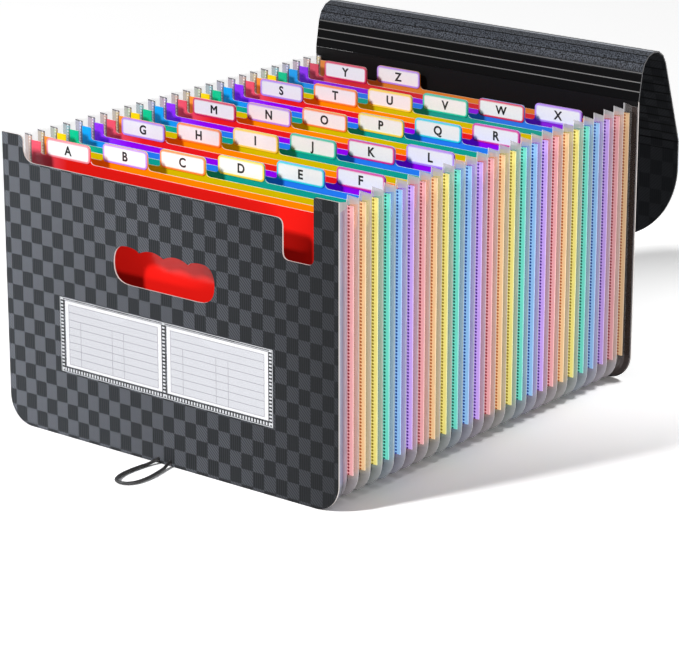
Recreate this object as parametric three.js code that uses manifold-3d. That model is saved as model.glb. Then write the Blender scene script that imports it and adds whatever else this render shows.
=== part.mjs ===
// Accordion file organizer: a polypropylene expanding file, pulled fully open, with 26 coloured index dividers,
// a pleated clear gusset on the left, the bottom and the right, a patterned front cover with a hand-hole and two
// card pockets, an elastic closing loop, and a back cover whose creased flap is thrown back.
// Millimetres. +X to the right, +Y to the back, +Z up. The front cover stands at Y = 0 while the pieces are made,
// and the whole model is centred over the origin at the end.
import * as THREE from 'three';
import { mergeVertices } from 'three/addons/utils/BufferGeometryUtils.js';
import Module from 'manifold-3d';

const wasm = await Module();
wasm.setup();

// Overall size
const WIDTH = 330;
const HEIGHT = 235;
const COVER_THICKNESS = 1.2;
const COVER_CORNER = 22;
const SEAT_GAP = 0.3;

// Dividers: the first pocket stands wider open than the others, the last one less
const DIVIDER_COUNT = 26;
const FIRST_DIVIDER_Y = 22.7;
const PITCH = 14.2;
const LAST_POCKET = 5.7;
const DIVIDER_THICKNESS = 0.8;
const DIVIDER_BOTTOM = 8.4;
const DIVIDER_TOP_DROP = 19.5;
const DIVIDER_TOP_EDGE = HEIGHT - DIVIDER_TOP_DROP;

// Ears: the raised side strips of a divider that are welded to the gusset
const EAR_DROP_LEFT = 9.7;
const EAR_DROP_RIGHT = 8.5;
const EAR_TOP_LEFT = HEIGHT - EAR_DROP_LEFT;
const EAR_TOP_RIGHT = HEIGHT - EAR_DROP_RIGHT;
const EAR_WIDTH_LEFT = 10.2;
const EAR_WIDTH_RIGHT = 14.4;
const FLANGE_LEFT = 4.5;
const FLANGE_RIGHT = 5.4;
const FLANGE_BOTTOM = 22.8;
const EAR_ROOT_RADIUS = 3.3;

// Index tabs, six places side by side
const TAB_PLACES = 6;
const TAB_SPACE = 0.45;
const FIRST_TAB_INSET = 26;
const LAST_TAB_INSET = 30.1;
const FIRST_TAB_X = -WIDTH / 2 + FIRST_TAB_INSET;
const TAB_STEP = (WIDTH - FIRST_TAB_INSET - LAST_TAB_INSET) / TAB_PLACES;
const TAB_WIDTH = TAB_STEP - TAB_SPACE;
const TAB_HEIGHT = 14.4;
const TAB_CORNER = 3.6;
const TAB_FOOT = 4;

// Paper labels, one on each tab
const LABEL_MARGIN = 0.9;
const LABEL_DROP = 1.1;
const LABEL_HEIGHT = 12.6;
const LABEL_CORNER = 1.8;
const LABEL_THICKNESS = 0.3;

// Pleated gusset: where its film turns in and out, and how high it stands
const FILM = 0.9;
const FOLD_IN_LEFT = 13;
const FOLD_IN_RIGHT = 10;
const FOLD_OUT_RIGHT = 4.8;
const INNER_LEFT = -WIDTH / 2 + FOLD_IN_LEFT;
const INNER_RIGHT = WIDTH / 2 - FOLD_IN_RIGHT;
const OUTER_LEFT = -WIDTH / 2;
const OUTER_RIGHT = WIDTH / 2 - FOLD_OUT_RIGHT;
const PLEAT_DEPTH_BOTTOM = 7.6;
const FILM_CLEAR_OF_FLOOR = 0.3;
const FILM_DROP_LEFT = 6;
const FILM_DROP_RIGHT_IN = 1;
const FILM_DROP_RIGHT_OUT = 4;
const FILM_TOP_LEFT = HEIGHT - FILM_DROP_LEFT;
const FILM_TOP_RIGHT_IN = HEIGHT - FILM_DROP_RIGHT_IN;
const FILM_TOP_RIGHT_OUT = HEIGHT - FILM_DROP_RIGHT_OUT;
const FILM_CORNER_OUT = 22;
const FILM_CORNER_IN = 15;
const CORNER_STEPS = 5;
const DIVIDER_CLEARANCE = 0.5;
const SLIT_CLEARANCE = 0.4;

// Weld strip of the gusset on the inner face of the back cover
const WELD_STRIP = 14;
const WELD_STRIP_THICKNESS = 0.4;
const WELD_STRIP_DROP = 3;
const WELD_STRIP_INSET = 6;
const WELD_STRIP_TOP = HEIGHT - WELD_STRIP_DROP;
const WELD_STRIP_EDGE = WIDTH / 2 - WELD_STRIP_INSET;

// Front cover: the ears left standing beside its low upper edge, and the thumb notch at the right
const LOW_EDGE_DROP = 20.5;
const LOW_EDGE = HEIGHT - LOW_EDGE_DROP;
const LEFT_EAR_WIDTH = 22;
const RIGHT_EAR_WIDTH = 22.6;
const EAR_ROUND = 5;
const EAR_FLARE = 12;
const NOTCH_WIDTH = 28.8;
const NOTCH_DEPTH = 30.5;
const NOTCH_BOTTOM = LOW_EDGE - NOTCH_DEPTH;
const NOTCH_ROUND = 6;

// Hand-hole with four finger scallops
const HOLE_CENTRE_X = -1.3;
const HOLE_WIDTH = 100;
const HOLE_BOTTOM = 136;
const HOLE_HEIGHT = 30;
const SCALLOP_STEP = 24.2;
const SCALLOP_DEPTH = 3.2;

// Card pockets and the two index cards in them
const POCKET_LEFT = -107.3;
const POCKET_WIDTH = 106;
const POCKET_BOTTOM = 54;
const POCKET_HEIGHT = 60;
const WELD_WIDTH = 4.2;
const POCKET_FILM = 0.35;
const POCKET_DEPTH = 0.7;
const CARD_THICKNESS = 0.3;
const CARD_MARGIN = 0.6;
const CARD_DROP = 2.6;

// Elastic loop, laid on the table in front of the cover
const CORD_DIAMETER = 2.6;
const CORD_REST_GAP = 0.1;
const EYELET_CLEARANCE = 0.4;
const EYELET_HEIGHT = 3.2;
const EYELET_LEFT_X = -9.9;
const EYELET_RIGHT_X = 2;

// Flap: rises from the back cover, turns over a crest and hangs down behind
const FLAP_RISE = 22.6;
const FLAP_LEAN = THREE.MathUtils.degToRad(10);
const CREST_RADIUS = 17.6;
const HANG_LEAN = THREE.MathUtils.degToRad(18.7);
const CREASED_HANG = 73;
const PLAIN_HANG = 92;
const PLAIN_LEAN = THREE.MathUtils.degToRad(1);
const CREASE_STEP = 7.5;
const FLAP_CORNER = 70;
const FLAP_CORNER_STEPS = 10;

const lastDividerY = FIRST_DIVIDER_Y + (DIVIDER_COUNT - 1) * PITCH;
const backCoverY = lastDividerY + LAST_POCKET;
const halfWidth = WIDTH / 2;

const colours = {
  black: 0x2b2c2f,
  film: 0xdfe3e6,
  clear: 0xeef2f5,
  card: 0xf3f3f1,
  elastic: 0x1b1b1d,
  dividers: [0xe8201c, 0xf08a00, 0xd9c400, 0x00a891, 0x1f74ea, 0x8a10d0],
};

function plastic(color, roughness = 0.45) {
  return new THREE.MeshStandardMaterial({ color, roughness, metalness: 0 });
}

const model = new THREE.Group();

function add(name, geometry, material) {
  const mesh = new THREE.Mesh(geometry, material);
  mesh.name = name;
  model.add(mesh);
  return mesh;
}

// A flat sheet cut to an outline drawn in X and Z, standing with its front face at y = frontY
function sheet(outline, thickness, frontY, curveSegments = 4) {
  const geometry = new THREE.ExtrudeGeometry(outline, { depth: thickness, bevelEnabled: false, curveSegments });
  geometry.rotateX(Math.PI / 2);
  geometry.translate(0, frontY + thickness, 0);
  return geometry;
}

function block(x0, x1, y0, y1, z0, z1) {
  const geometry = new THREE.BoxGeometry(x1 - x0, y1 - y0, z1 - z0);
  geometry.translate((x0 + x1) / 2, (y0 + y1) / 2, (z0 + z1) / 2);
  return geometry;
}

// Closed geometry to solid and back, for joining and cutting
function toSolid(geometry) {
  const bare = geometry.clone();
  bare.deleteAttribute('normal');
  bare.deleteAttribute('uv');
  const merged = mergeVertices(bare, 1e-4);
  return new wasm.Manifold(new wasm.Mesh({
    numProp: 3,
    vertProperties: Float32Array.from(merged.attributes.position.array),
    triVerts: Uint32Array.from(merged.index.array),
  }));
}

function toGeometry(solid) {
  const mesh = solid.getMesh();
  const geometry = new THREE.BufferGeometry();
  geometry.setAttribute('position', new THREE.BufferAttribute(Float32Array.from(mesh.vertProperties), 3));
  geometry.setIndex(new THREE.BufferAttribute(Uint32Array.from(mesh.triVerts), 1));
  geometry.computeVertexNormals();
  return geometry;
}

// Rounded corner of a cut sheet: ends the straight edge before the corner and bends to the next edge
function bend(outline, cornerX, cornerZ, toX, toZ) {
  outline.quadraticCurveTo(cornerX, cornerZ, toX, toZ);
}

function sheetWithRoundFeet(outline, top) {
  outline.moveTo(-halfWidth + COVER_CORNER, 0);
  outline.lineTo(halfWidth - COVER_CORNER, 0);
  outline.absarc(halfWidth - COVER_CORNER, COVER_CORNER, COVER_CORNER, -Math.PI / 2, 0, false);
  outline.lineTo(halfWidth, top);
}

function closeRoundFeet(outline, top) {
  outline.lineTo(-halfWidth, top);
  outline.lineTo(-halfWidth, COVER_CORNER);
  outline.absarc(-halfWidth + COVER_CORNER, COVER_CORNER, COVER_CORNER, Math.PI, 1.5 * Math.PI, false);
}

// Hand-hole: rounded ends, a straight bottom, and scallops for four fingers along the top
function handHole() {
  const left = HOLE_CENTRE_X - HOLE_WIDTH / 2;
  const right = HOLE_CENTRE_X + HOLE_WIDTH / 2;
  const top = HOLE_BOTTOM + HOLE_HEIGHT;
  const dip = top - SCALLOP_DEPTH;
  const middle = HOLE_BOTTOM + HOLE_HEIGHT / 2;
  const firstDip = HOLE_CENTRE_X - SCALLOP_STEP;
  const lastDip = HOLE_CENTRE_X + SCALLOP_STEP;
  const endRun = (HOLE_WIDTH / 2 - SCALLOP_STEP) / 2;
  const hole = new THREE.Path();
  hole.moveTo(left + endRun + SCALLOP_DEPTH, HOLE_BOTTOM);
  hole.lineTo(right - endRun - SCALLOP_DEPTH, HOLE_BOTTOM);
  bend(hole, right, HOLE_BOTTOM, right, middle);
  bend(hole, right, top, right - endRun, top);
  bend(hole, lastDip + SCALLOP_DEPTH, top, lastDip, dip);
  for (let x = lastDip - SCALLOP_STEP; x > firstDip - 1; x -= SCALLOP_STEP) {
    bend(hole, x + SCALLOP_STEP / 2, top + SCALLOP_DEPTH, x, dip);
  }
  bend(hole, firstDip - SCALLOP_DEPTH, top, left + endRun, top);
  bend(hole, left, top, left, middle);
  bend(hole, left, HOLE_BOTTOM, left + endRun + SCALLOP_DEPTH, HOLE_BOTTOM);
  return hole;
}

function eyelet(x) {
  const hole = new THREE.Path();
  hole.absarc(x, EYELET_HEIGHT, CORD_DIAMETER / 2 + EYELET_CLEARANCE, 0, 2 * Math.PI, false);
  return hole;
}

function frontCover() {
  const earInner = halfWidth - RIGHT_EAR_WIDTH;
  const notchLeft = earInner - NOTCH_WIDTH;
  const leftEar = -halfWidth + LEFT_EAR_WIDTH;
  const outline = new THREE.Shape();
  sheetWithRoundFeet(outline, HEIGHT);
  outline.lineTo(earInner + EAR_ROUND / 2, HEIGHT);
  bend(outline, earInner, HEIGHT, earInner, HEIGHT - EAR_ROUND / 2);
  outline.lineTo(earInner, NOTCH_BOTTOM + NOTCH_ROUND);
  bend(outline, earInner, NOTCH_BOTTOM, earInner - NOTCH_ROUND, NOTCH_BOTTOM);
  outline.lineTo(notchLeft + NOTCH_ROUND, NOTCH_BOTTOM);
  bend(outline, notchLeft, NOTCH_BOTTOM, notchLeft, NOTCH_BOTTOM + NOTCH_ROUND);
  outline.lineTo(notchLeft, LOW_EDGE - NOTCH_ROUND);
  bend(outline, notchLeft, LOW_EDGE, notchLeft - NOTCH_ROUND, LOW_EDGE);
  outline.lineTo(leftEar + EAR_FLARE, LOW_EDGE);
  bend(outline, leftEar, LOW_EDGE, leftEar, LOW_EDGE + EAR_FLARE);
  outline.lineTo(leftEar, HEIGHT - EAR_ROUND);
  bend(outline, leftEar, HEIGHT, leftEar - EAR_ROUND, HEIGHT);
  closeRoundFeet(outline, HEIGHT);
  outline.holes.push(handHole(), eyelet(EYELET_LEFT_X), eyelet(EYELET_RIGHT_X));
  return sheet(outline, COVER_THICKNESS, 0, 6);
}

function backCover() {
  const outline = new THREE.Shape();
  sheetWithRoundFeet(outline, HEIGHT);
  closeRoundFeet(outline, HEIGHT);
  return sheet(outline, COVER_THICKNESS, backCoverY, 6);
}

// One divider: a rounded sheet with ears, a weld flange past each side fold, and its tab
function divider(place) {
  const left = INNER_LEFT + DIVIDER_CLEARANCE;
  const right = INNER_RIGHT - DIVIDER_CLEARANCE;
  const corner = FILM_CORNER_IN - FILM - DIVIDER_CLEARANCE;
  const flangeLeft = INNER_LEFT - FLANGE_LEFT;
  const flangeRight = INNER_RIGHT + FLANGE_RIGHT;
  const earLeft = flangeLeft + EAR_WIDTH_LEFT;
  const earRight = flangeRight - EAR_WIDTH_RIGHT;
  const tabLeft = FIRST_TAB_X + place * TAB_STEP;
  const tabRight = tabLeft + TAB_WIDTH;
  const tabTop = DIVIDER_TOP_EDGE + TAB_HEIGHT;
  const o = new THREE.Shape();
  o.moveTo(left + corner, DIVIDER_BOTTOM);
  o.lineTo(right - corner, DIVIDER_BOTTOM);
  o.absarc(right - corner, DIVIDER_BOTTOM + corner, corner, -Math.PI / 2, 0, false);
  o.lineTo(right, FLANGE_BOTTOM);
  o.lineTo(flangeRight, FLANGE_BOTTOM);
  o.lineTo(flangeRight, EAR_TOP_RIGHT);
  o.lineTo(earRight, EAR_TOP_RIGHT);
  o.lineTo(earRight, DIVIDER_TOP_EDGE + EAR_ROOT_RADIUS);
  bend(o, earRight, DIVIDER_TOP_EDGE, earRight - EAR_ROOT_RADIUS, DIVIDER_TOP_EDGE);
  o.lineTo(tabRight + TAB_FOOT, DIVIDER_TOP_EDGE);
  bend(o, tabRight, DIVIDER_TOP_EDGE, tabRight, DIVIDER_TOP_EDGE + TAB_FOOT);
  o.lineTo(tabRight, tabTop - TAB_CORNER);
  bend(o, tabRight, tabTop, tabRight - TAB_CORNER, tabTop);
  o.lineTo(tabLeft + TAB_CORNER, tabTop);
  bend(o, tabLeft, tabTop, tabLeft, tabTop - TAB_CORNER);
  o.lineTo(tabLeft, DIVIDER_TOP_EDGE + TAB_FOOT);
  bend(o, tabLeft, DIVIDER_TOP_EDGE, tabLeft - TAB_FOOT, DIVIDER_TOP_EDGE);
  o.lineTo(earLeft + EAR_ROOT_RADIUS, DIVIDER_TOP_EDGE);
  bend(o, earLeft, DIVIDER_TOP_EDGE, earLeft, DIVIDER_TOP_EDGE + EAR_ROOT_RADIUS);
  o.lineTo(earLeft, EAR_TOP_LEFT);
  o.lineTo(flangeLeft, EAR_TOP_LEFT);
  o.lineTo(flangeLeft, FLANGE_BOTTOM);
  o.lineTo(left, FLANGE_BOTTOM);
  o.lineTo(left, DIVIDER_BOTTOM + corner);
  o.absarc(left + corner, DIVIDER_BOTTOM + corner, corner, Math.PI, 1.5 * Math.PI, false);
  return o;
}

function label(place) {
  const left = FIRST_TAB_X + place * TAB_STEP + LABEL_MARGIN;
  const right = left + TAB_WIDTH - 2 * LABEL_MARGIN;
  const top = DIVIDER_TOP_EDGE + TAB_HEIGHT - LABEL_DROP;
  const bottom = top - LABEL_HEIGHT;
  const o = new THREE.Shape();
  o.moveTo(left + LABEL_CORNER, bottom);
  o.lineTo(right - LABEL_CORNER, bottom);
  bend(o, right, bottom, right, bottom + LABEL_CORNER);
  o.lineTo(right, top - LABEL_CORNER);
  bend(o, right, top, right - LABEL_CORNER, top);
  o.lineTo(left + LABEL_CORNER, top);
  bend(o, left, top, left, top - LABEL_CORNER);
  o.lineTo(left, bottom + LABEL_CORNER);
  bend(o, left, bottom, left + LABEL_CORNER, bottom);
  return o;
}

// One U-shaped section of the gusset film: down the left side, along the bottom and up the right side
function uSection(s, inset) {
  const left = s.left + inset;
  const right = s.right - inset;
  const bottom = s.bottom + inset;
  const radius = Math.max(s.radius - inset, FILM);
  const points = [[left, s.topLeft]];
  for (let i = 0; i <= CORNER_STEPS; i += 1) {
    const a = Math.PI + (i / CORNER_STEPS) * Math.PI / 2;
    points.push([left + radius + radius * Math.cos(a), bottom + radius + radius * Math.sin(a)]);
  }
  for (let i = 0; i <= CORNER_STEPS; i += 1) {
    const a = 1.5 * Math.PI + (i / CORNER_STEPS) * Math.PI / 2;
    points.push([right - radius + radius * Math.cos(a), bottom + radius + radius * Math.sin(a)]);
  }
  points.push([right, s.topRight]);
  return points;
}

// The folds of the gusset from front to back, as film sections
function gussetFolds() {
  const outer = {
    left: OUTER_LEFT, right: OUTER_RIGHT, bottom: FILM_CLEAR_OF_FLOOR, radius: FILM_CORNER_OUT,
    topLeft: FILM_TOP_LEFT, topRight: FILM_TOP_RIGHT_OUT, film: FILM,
  };
  const inner = {
    left: INNER_LEFT - FILM, right: INNER_RIGHT + FILM, bottom: PLEAT_DEPTH_BOTTOM - FILM, radius: FILM_CORNER_IN,
    topLeft: FILM_TOP_LEFT, topRight: FILM_TOP_RIGHT_IN, film: FILM,
  };
  const front = { ...outer, right: -OUTER_LEFT };
  const weld = {
    ...outer, left: -WELD_STRIP_EDGE, right: WELD_STRIP_EDGE, topLeft: WELD_STRIP_TOP, topRight: WELD_STRIP_TOP,
  };
  const folds = [{ ...front, y: COVER_THICKNESS + SEAT_GAP }];
  for (let i = 0; i < DIVIDER_COUNT; i += 1) {
    const y = FIRST_DIVIDER_Y + i * PITCH;
    folds.push({ ...outer, y: y - PITCH / 2 });
    folds.push({ ...inner, y });
  }
  const end = backCoverY - SEAT_GAP;
  folds.push({ ...weld, y: end - 1.5 * WELD_STRIP_THICKNESS });
  folds.push({ ...weld, y: end - WELD_STRIP_THICKNESS, film: WELD_STRIP });
  folds.push({ ...weld, y: end, film: WELD_STRIP });
  return folds;
}

// Closed skin through a row of outer sections and the same row of inner sections
function pleatedFilm(folds) {
  const outside = folds.map((f) => uSection(f, 0).map(([x, z]) => [x, f.y, z]));
  const inside = folds.map((f) => uSection(f, f.film).map(([x, z]) => [x, f.y, z]));
  const perSection = outside[0].length;
  const positions = [...outside.flat(), ...inside.flat()].flat();
  const insideStart = outside.length * perSection;
  const out = (row, k) => row * perSection + k;
  const ins = (row, k) => insideStart + row * perSection + k;
  const index = [];
  const quad = (a, b, c, d) => index.push(a, b, c, a, c, d);
  for (let row = 0; row < folds.length - 1; row += 1) {
    for (let k = 0; k < perSection - 1; k += 1) {
      quad(out(row, k), out(row + 1, k), out(row + 1, k + 1), out(row, k + 1));
      quad(ins(row, k), ins(row, k + 1), ins(row + 1, k + 1), ins(row + 1, k));
    }
    const last = perSection - 1;
    quad(out(row, 0), ins(row, 0), ins(row + 1, 0), out(row + 1, 0));
    quad(out(row, last), out(row + 1, last), ins(row + 1, last), ins(row, last));
  }
  const end = folds.length - 1;
  for (let k = 0; k < perSection - 1; k += 1) {
    quad(out(0, k), out(0, k + 1), ins(0, k + 1), ins(0, k));
    quad(out(end, k), ins(end, k), ins(end, k + 1), out(end, k + 1));
  }
  const geometry = new THREE.BufferGeometry();
  geometry.setAttribute('position', new THREE.Float32BufferAttribute(positions, 3));
  geometry.setIndex(index);
  return geometry;
}

// Slits through the inner folds, where a divider's flange passes out between two pleats
function flangeSlits() {
  const half = DIVIDER_THICKNESS / 2 + SLIT_CLEARANCE;
  const bottom = FLANGE_BOTTOM - SLIT_CLEARANCE;
  const slits = [];
  for (let i = 0; i < DIVIDER_COUNT; i += 1) {
    const y = FIRST_DIVIDER_Y + i * PITCH;
    const leftEnd = INNER_LEFT - FLANGE_LEFT - SLIT_CLEARANCE;
    const rightEnd = INNER_RIGHT + FLANGE_RIGHT + SLIT_CLEARANCE;
    const top = [EAR_TOP_LEFT + SLIT_CLEARANCE, EAR_TOP_RIGHT + SLIT_CLEARANCE];
    slits.push(toSolid(block(leftEnd, INNER_LEFT + 2 * FILM, y - half, y + half, bottom, top[0])));
    slits.push(toSolid(block(INNER_RIGHT - 2 * FILM, rightEnd, y - half, y + half, bottom, top[1])));
  }
  return slits;
}

function gusset() {
  let film = toSolid(pleatedFilm(gussetFolds()));
  for (const slit of flangeSlits()) {
    film = film.subtract(slit);
  }
  return toGeometry(film);
}

// Clear window with welds at the left, middle, right and bottom, open along its top
function cardPockets() {
  const right = POCKET_LEFT + 2 * POCKET_WIDTH;
  const top = POCKET_BOTTOM + POCKET_HEIGHT;
  const back = -SEAT_GAP;
  const middle = -SEAT_GAP - POCKET_DEPTH;
  const front = middle - POCKET_FILM;
  let pocket = toSolid(block(POCKET_LEFT, right, front, middle, POCKET_BOTTOM, top));
  const weldCentres = [POCKET_LEFT + WELD_WIDTH / 2, POCKET_LEFT + POCKET_WIDTH, right - WELD_WIDTH / 2];
  for (const x of weldCentres) {
    pocket = pocket.add(toSolid(block(x - WELD_WIDTH / 2, x + WELD_WIDTH / 2, front, back, POCKET_BOTTOM, top)));
  }
  pocket = pocket.add(toSolid(block(POCKET_LEFT, right, front, back, POCKET_BOTTOM, POCKET_BOTTOM + WELD_WIDTH)));
  return toGeometry(pocket);
}

function indexCard(number) {
  const x0 = POCKET_LEFT + number * POCKET_WIDTH + WELD_WIDTH / (number + 1) + CARD_MARGIN;
  const x1 = POCKET_LEFT + (number + 1) * POCKET_WIDTH - WELD_WIDTH / (2 - number) - CARD_MARGIN;
  const z0 = POCKET_BOTTOM + WELD_WIDTH + SEAT_GAP;
  const z1 = POCKET_BOTTOM + POCKET_HEIGHT - CARD_DROP;
  const y = -SEAT_GAP - POCKET_DEPTH / 2;
  return block(x0, x1, y - CARD_THICKNESS / 2, y + CARD_THICKNESS / 2, z0, z1);
}

// Route of the elastic: out of the left eyelet, round the loop on the table, back into the right eyelet
function loopRoute() {
  const lying = CORD_DIAMETER / 2 + CORD_REST_GAP;
  const inside = COVER_THICKNESS - SEAT_GAP;
  return [
    [EYELET_LEFT_X, inside, EYELET_HEIGHT],
    [EYELET_LEFT_X, -1.6, EYELET_HEIGHT],
    [-10.9, -5.1, 2.2],
    [-12, -10.5, lying],
    [-12.8, -17.2, lying],
    [-13.4, -26.7, lying],
    [-12.9, -36.3, lying],
    [-11.2, -43.7, lying],
    [-8.2, -49.2, lying],
    [-3.3, -51.6, lying],
    [1.9, -50.8, lying],
    [5.6, -47.2, lying],
    [7.6, -41.2, lying],
    [8, -31.6, lying],
    [6.3, -19.4, lying],
    [4.3, -10.5, lying],
    [2.9, -5.3, 2.2],
    [EYELET_RIGHT_X, -1.6, EYELET_HEIGHT],
    [EYELET_RIGHT_X, inside, EYELET_HEIGHT],
  ].map(([x, y, z]) => new THREE.Vector3(x, y, z));
}

function elasticLoop() {
  const section = new THREE.Shape();
  section.absarc(0, 0, CORD_DIAMETER / 2, 0, 2 * Math.PI, false);
  const curve = new THREE.CatmullRomCurve3(loopRoute(), false, 'centripetal');
  return new THREE.ExtrudeGeometry(section, { steps: 44, bevelEnabled: false, extrudePath: curve, curveSegments: 4 });
}

// Centre line of the flap in Y and Z: a leaning rise, a round crest, a creased slope and a plain tail
function flapLine() {
  const start = [backCoverY + COVER_THICKNESS / 2, HEIGHT + SEAT_GAP];
  const line = [start];
  const step = (angle, length) => {
    const [y, z] = line[line.length - 1];
    line.push([y + length * Math.sin(angle), z + length * Math.cos(angle)]);
  };
  const riseSteps = Math.round(FLAP_RISE / CREASE_STEP);
  for (let i = 0; i < riseSteps; i += 1) {
    step(FLAP_LEAN, FLAP_RISE / riseSteps);
  }
  const turn = Math.PI - FLAP_LEAN - HANG_LEAN;
  const crestSteps = Math.round((turn * CREST_RADIUS) / CREASE_STEP);
  for (let i = 0; i < crestSteps; i += 1) {
    step(FLAP_LEAN + ((i + 0.5) / crestSteps) * turn, 2 * CREST_RADIUS * Math.sin(turn / crestSteps / 2));
  }
  const hangSteps = Math.round(CREASED_HANG / CREASE_STEP);
  for (let i = 0; i < hangSteps; i += 1) {
    step(Math.PI - HANG_LEAN, CREASED_HANG / hangSteps);
  }
  step(Math.PI - PLAIN_LEAN, PLAIN_HANG - FLAP_CORNER);
  const cornerTop = line[line.length - 1];
  for (let i = 1; i <= FLAP_CORNER_STEPS; i += 1) {
    const down = FLAP_CORNER * Math.sin((i / FLAP_CORNER_STEPS) * Math.PI / 2);
    line.push([cornerTop[0] + down * Math.sin(PLAIN_LEAN), cornerTop[1] - down * Math.cos(PLAIN_LEAN)]);
  }
  return line;
}

// Half the width of the flap at a point of its line: full until the round corners of its free end
function flapHalfWidth(index, count) {
  const intoCorner = index - (count - 1 - FLAP_CORNER_STEPS);
  if (intoCorner <= 0) {
    return halfWidth;
  }
  return halfWidth - FLAP_CORNER + FLAP_CORNER * Math.cos((intoCorner / FLAP_CORNER_STEPS) * Math.PI / 2);
}

function flap() {
  const line = flapLine();
  const positions = [];
  line.forEach(([y, z], i) => {
    const before = line[Math.max(i - 1, 0)];
    const after = line[Math.min(i + 1, line.length - 1)];
    const along = new THREE.Vector2(after[0] - before[0], after[1] - before[1]).normalize();
    const half = COVER_THICKNESS / 2;
    const out = [along.y * half, -along.x * half];
    const w = flapHalfWidth(i, line.length);
    positions.push(-w, y - out[0], z - out[1]);
    positions.push(w, y - out[0], z - out[1]);
    positions.push(w, y + out[0], z + out[1]);
    positions.push(-w, y + out[0], z + out[1]);
  });
  const index = [];
  const quad = (a, b, c, d) => index.push(a, b, c, a, c, d);
  for (let i = 0; i < line.length - 1; i += 1) {
    const a = 4 * i;
    const b = a + 4;
    for (let side = 0; side < 4; side += 1) {
      const next = (side + 1) % 4;
      quad(a + side, a + next, b + next, b + side);
    }
  }
  const end = 4 * (line.length - 1);
  quad(0, 3, 2, 1);
  quad(end, end + 1, end + 2, end + 3);
  const geometry = new THREE.BufferGeometry();
  geometry.setAttribute('position', new THREE.Float32BufferAttribute(positions, 3));
  geometry.setIndex(index);
  geometry.computeVertexNormals();
  return geometry;
}

add('front_cover', frontCover(), plastic(colours.black));
add('back_cover', backCover(), plastic(colours.black));
add('flap', flap(), plastic(colours.black));
add('accordion_gusset', gusset(), plastic(colours.film, 0.35));
add('card_pocket_film', cardPockets(), plastic(colours.clear, 0.15));
add('index_card_left', indexCard(0), plastic(colours.card, 0.8));
add('index_card_right', indexCard(1), plastic(colours.card, 0.8));

for (let i = 0; i < DIVIDER_COUNT; i += 1) {
  const letter = String.fromCharCode('a'.charCodeAt(0) + i);
  const place = i % TAB_PLACES;
  const y = FIRST_DIVIDER_Y + i * PITCH;
  const front = y - DIVIDER_THICKNESS / 2;
  const colour = colours.dividers[i % colours.dividers.length];
  add(`divider_${letter}`, sheet(divider(place), DIVIDER_THICKNESS, front), plastic(colour));
  const labelFront = front - SEAT_GAP - LABEL_THICKNESS;
  add(`label_${letter}`, sheet(label(place), LABEL_THICKNESS, labelFront, 3), plastic(colours.card, 0.8));
}

// Centre the file over the origin; the elastic on the table doesn't count
model.updateMatrixWorld(true);
const bounds = new THREE.Box3().setFromObject(model);
const centre = bounds.getCenter(new THREE.Vector3());
add('elastic_loop', elasticLoop(), plastic(colours.elastic, 0.7));
model.position.set(-centre.x, -centre.y, -bounds.min.z);

const organizer = new THREE.Group();
organizer.add(model);

export default organizer;
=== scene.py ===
# %% [markdown]
# An accordion file organizer, pulled wide open. The real one is cut and welded from polypropylene: two
# stiff black covers with a woven-look check, twenty-six coloured dividers with index tabs, and one long
# clear gusset that is pleated round the left side, the bottom and the right side. A flap of the same black
# sheet is creased so that it can be thrown back over its own crest, and a black elastic closes the file.
#
# The construction is already made at its real size. The frame brings it in, and this script gives it its
# looks: first the camera and the elastic, then one finish after another.

# %% Load the frame
import math

import bmesh
import bpy
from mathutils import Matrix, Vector


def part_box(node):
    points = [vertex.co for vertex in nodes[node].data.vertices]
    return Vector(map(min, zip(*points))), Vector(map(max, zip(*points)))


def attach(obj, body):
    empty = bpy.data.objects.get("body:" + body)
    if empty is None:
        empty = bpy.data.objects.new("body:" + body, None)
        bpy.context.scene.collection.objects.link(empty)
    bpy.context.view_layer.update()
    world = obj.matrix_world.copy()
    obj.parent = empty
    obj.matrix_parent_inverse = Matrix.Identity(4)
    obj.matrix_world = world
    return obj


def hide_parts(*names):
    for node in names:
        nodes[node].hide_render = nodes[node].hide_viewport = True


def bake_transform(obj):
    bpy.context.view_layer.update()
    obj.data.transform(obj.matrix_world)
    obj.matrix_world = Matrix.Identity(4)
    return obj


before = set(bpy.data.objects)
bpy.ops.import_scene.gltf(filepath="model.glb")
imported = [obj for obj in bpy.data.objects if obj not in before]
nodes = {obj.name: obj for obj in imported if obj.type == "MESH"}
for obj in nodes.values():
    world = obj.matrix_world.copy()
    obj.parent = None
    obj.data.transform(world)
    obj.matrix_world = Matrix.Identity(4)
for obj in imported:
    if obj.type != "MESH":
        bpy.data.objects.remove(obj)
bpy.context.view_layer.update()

MM = 0.001

# %% [markdown]
# The maker's drawing counts from the front cover: Y = 0 is the cover's front face. The frame counts from
# the middle of the footprint. One helper turns drawing millimetres into frame metres, so every size below
# can be read as it would be measured on the real file.

# %% From drawing millimetres to frame metres
FRONT_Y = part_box("front_cover")[0][1]


def place(x, y, z):
    return Vector((x * MM, FRONT_Y + y * MM, z * MM))


WIDTH = 330
HEIGHT = 235
DIVIDER_COUNT = 26
FIRST_DIVIDER_Y = 22.7
PITCH = 14.2
BACK_COVER_Y = (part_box("back_cover")[0][1] - FRONT_Y) / MM
letters = [chr(ord("a") + i) for i in range(DIVIDER_COUNT)]
print("back cover stands at", round(BACK_COVER_Y, 1), "mm")

# %% [markdown]
# The photograph was taken with a long lens from the right and above. A long lens keeps the far dividers
# nearly as large as the near ones, so the focal length matters as much as the direction. A short lens moved
# closer would give the same framing with steep perspective, and the rows of tabs would no longer line up.

# %% Camera
CAMERA_PLACE = place(1422.4, -1579.2, 792.8)
CAMERA_FORWARD = Vector((-0.5929, 0.7451, -0.30544))
FOCAL_LENGTH = 158.3
SENSOR_WIDTH = 36

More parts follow.
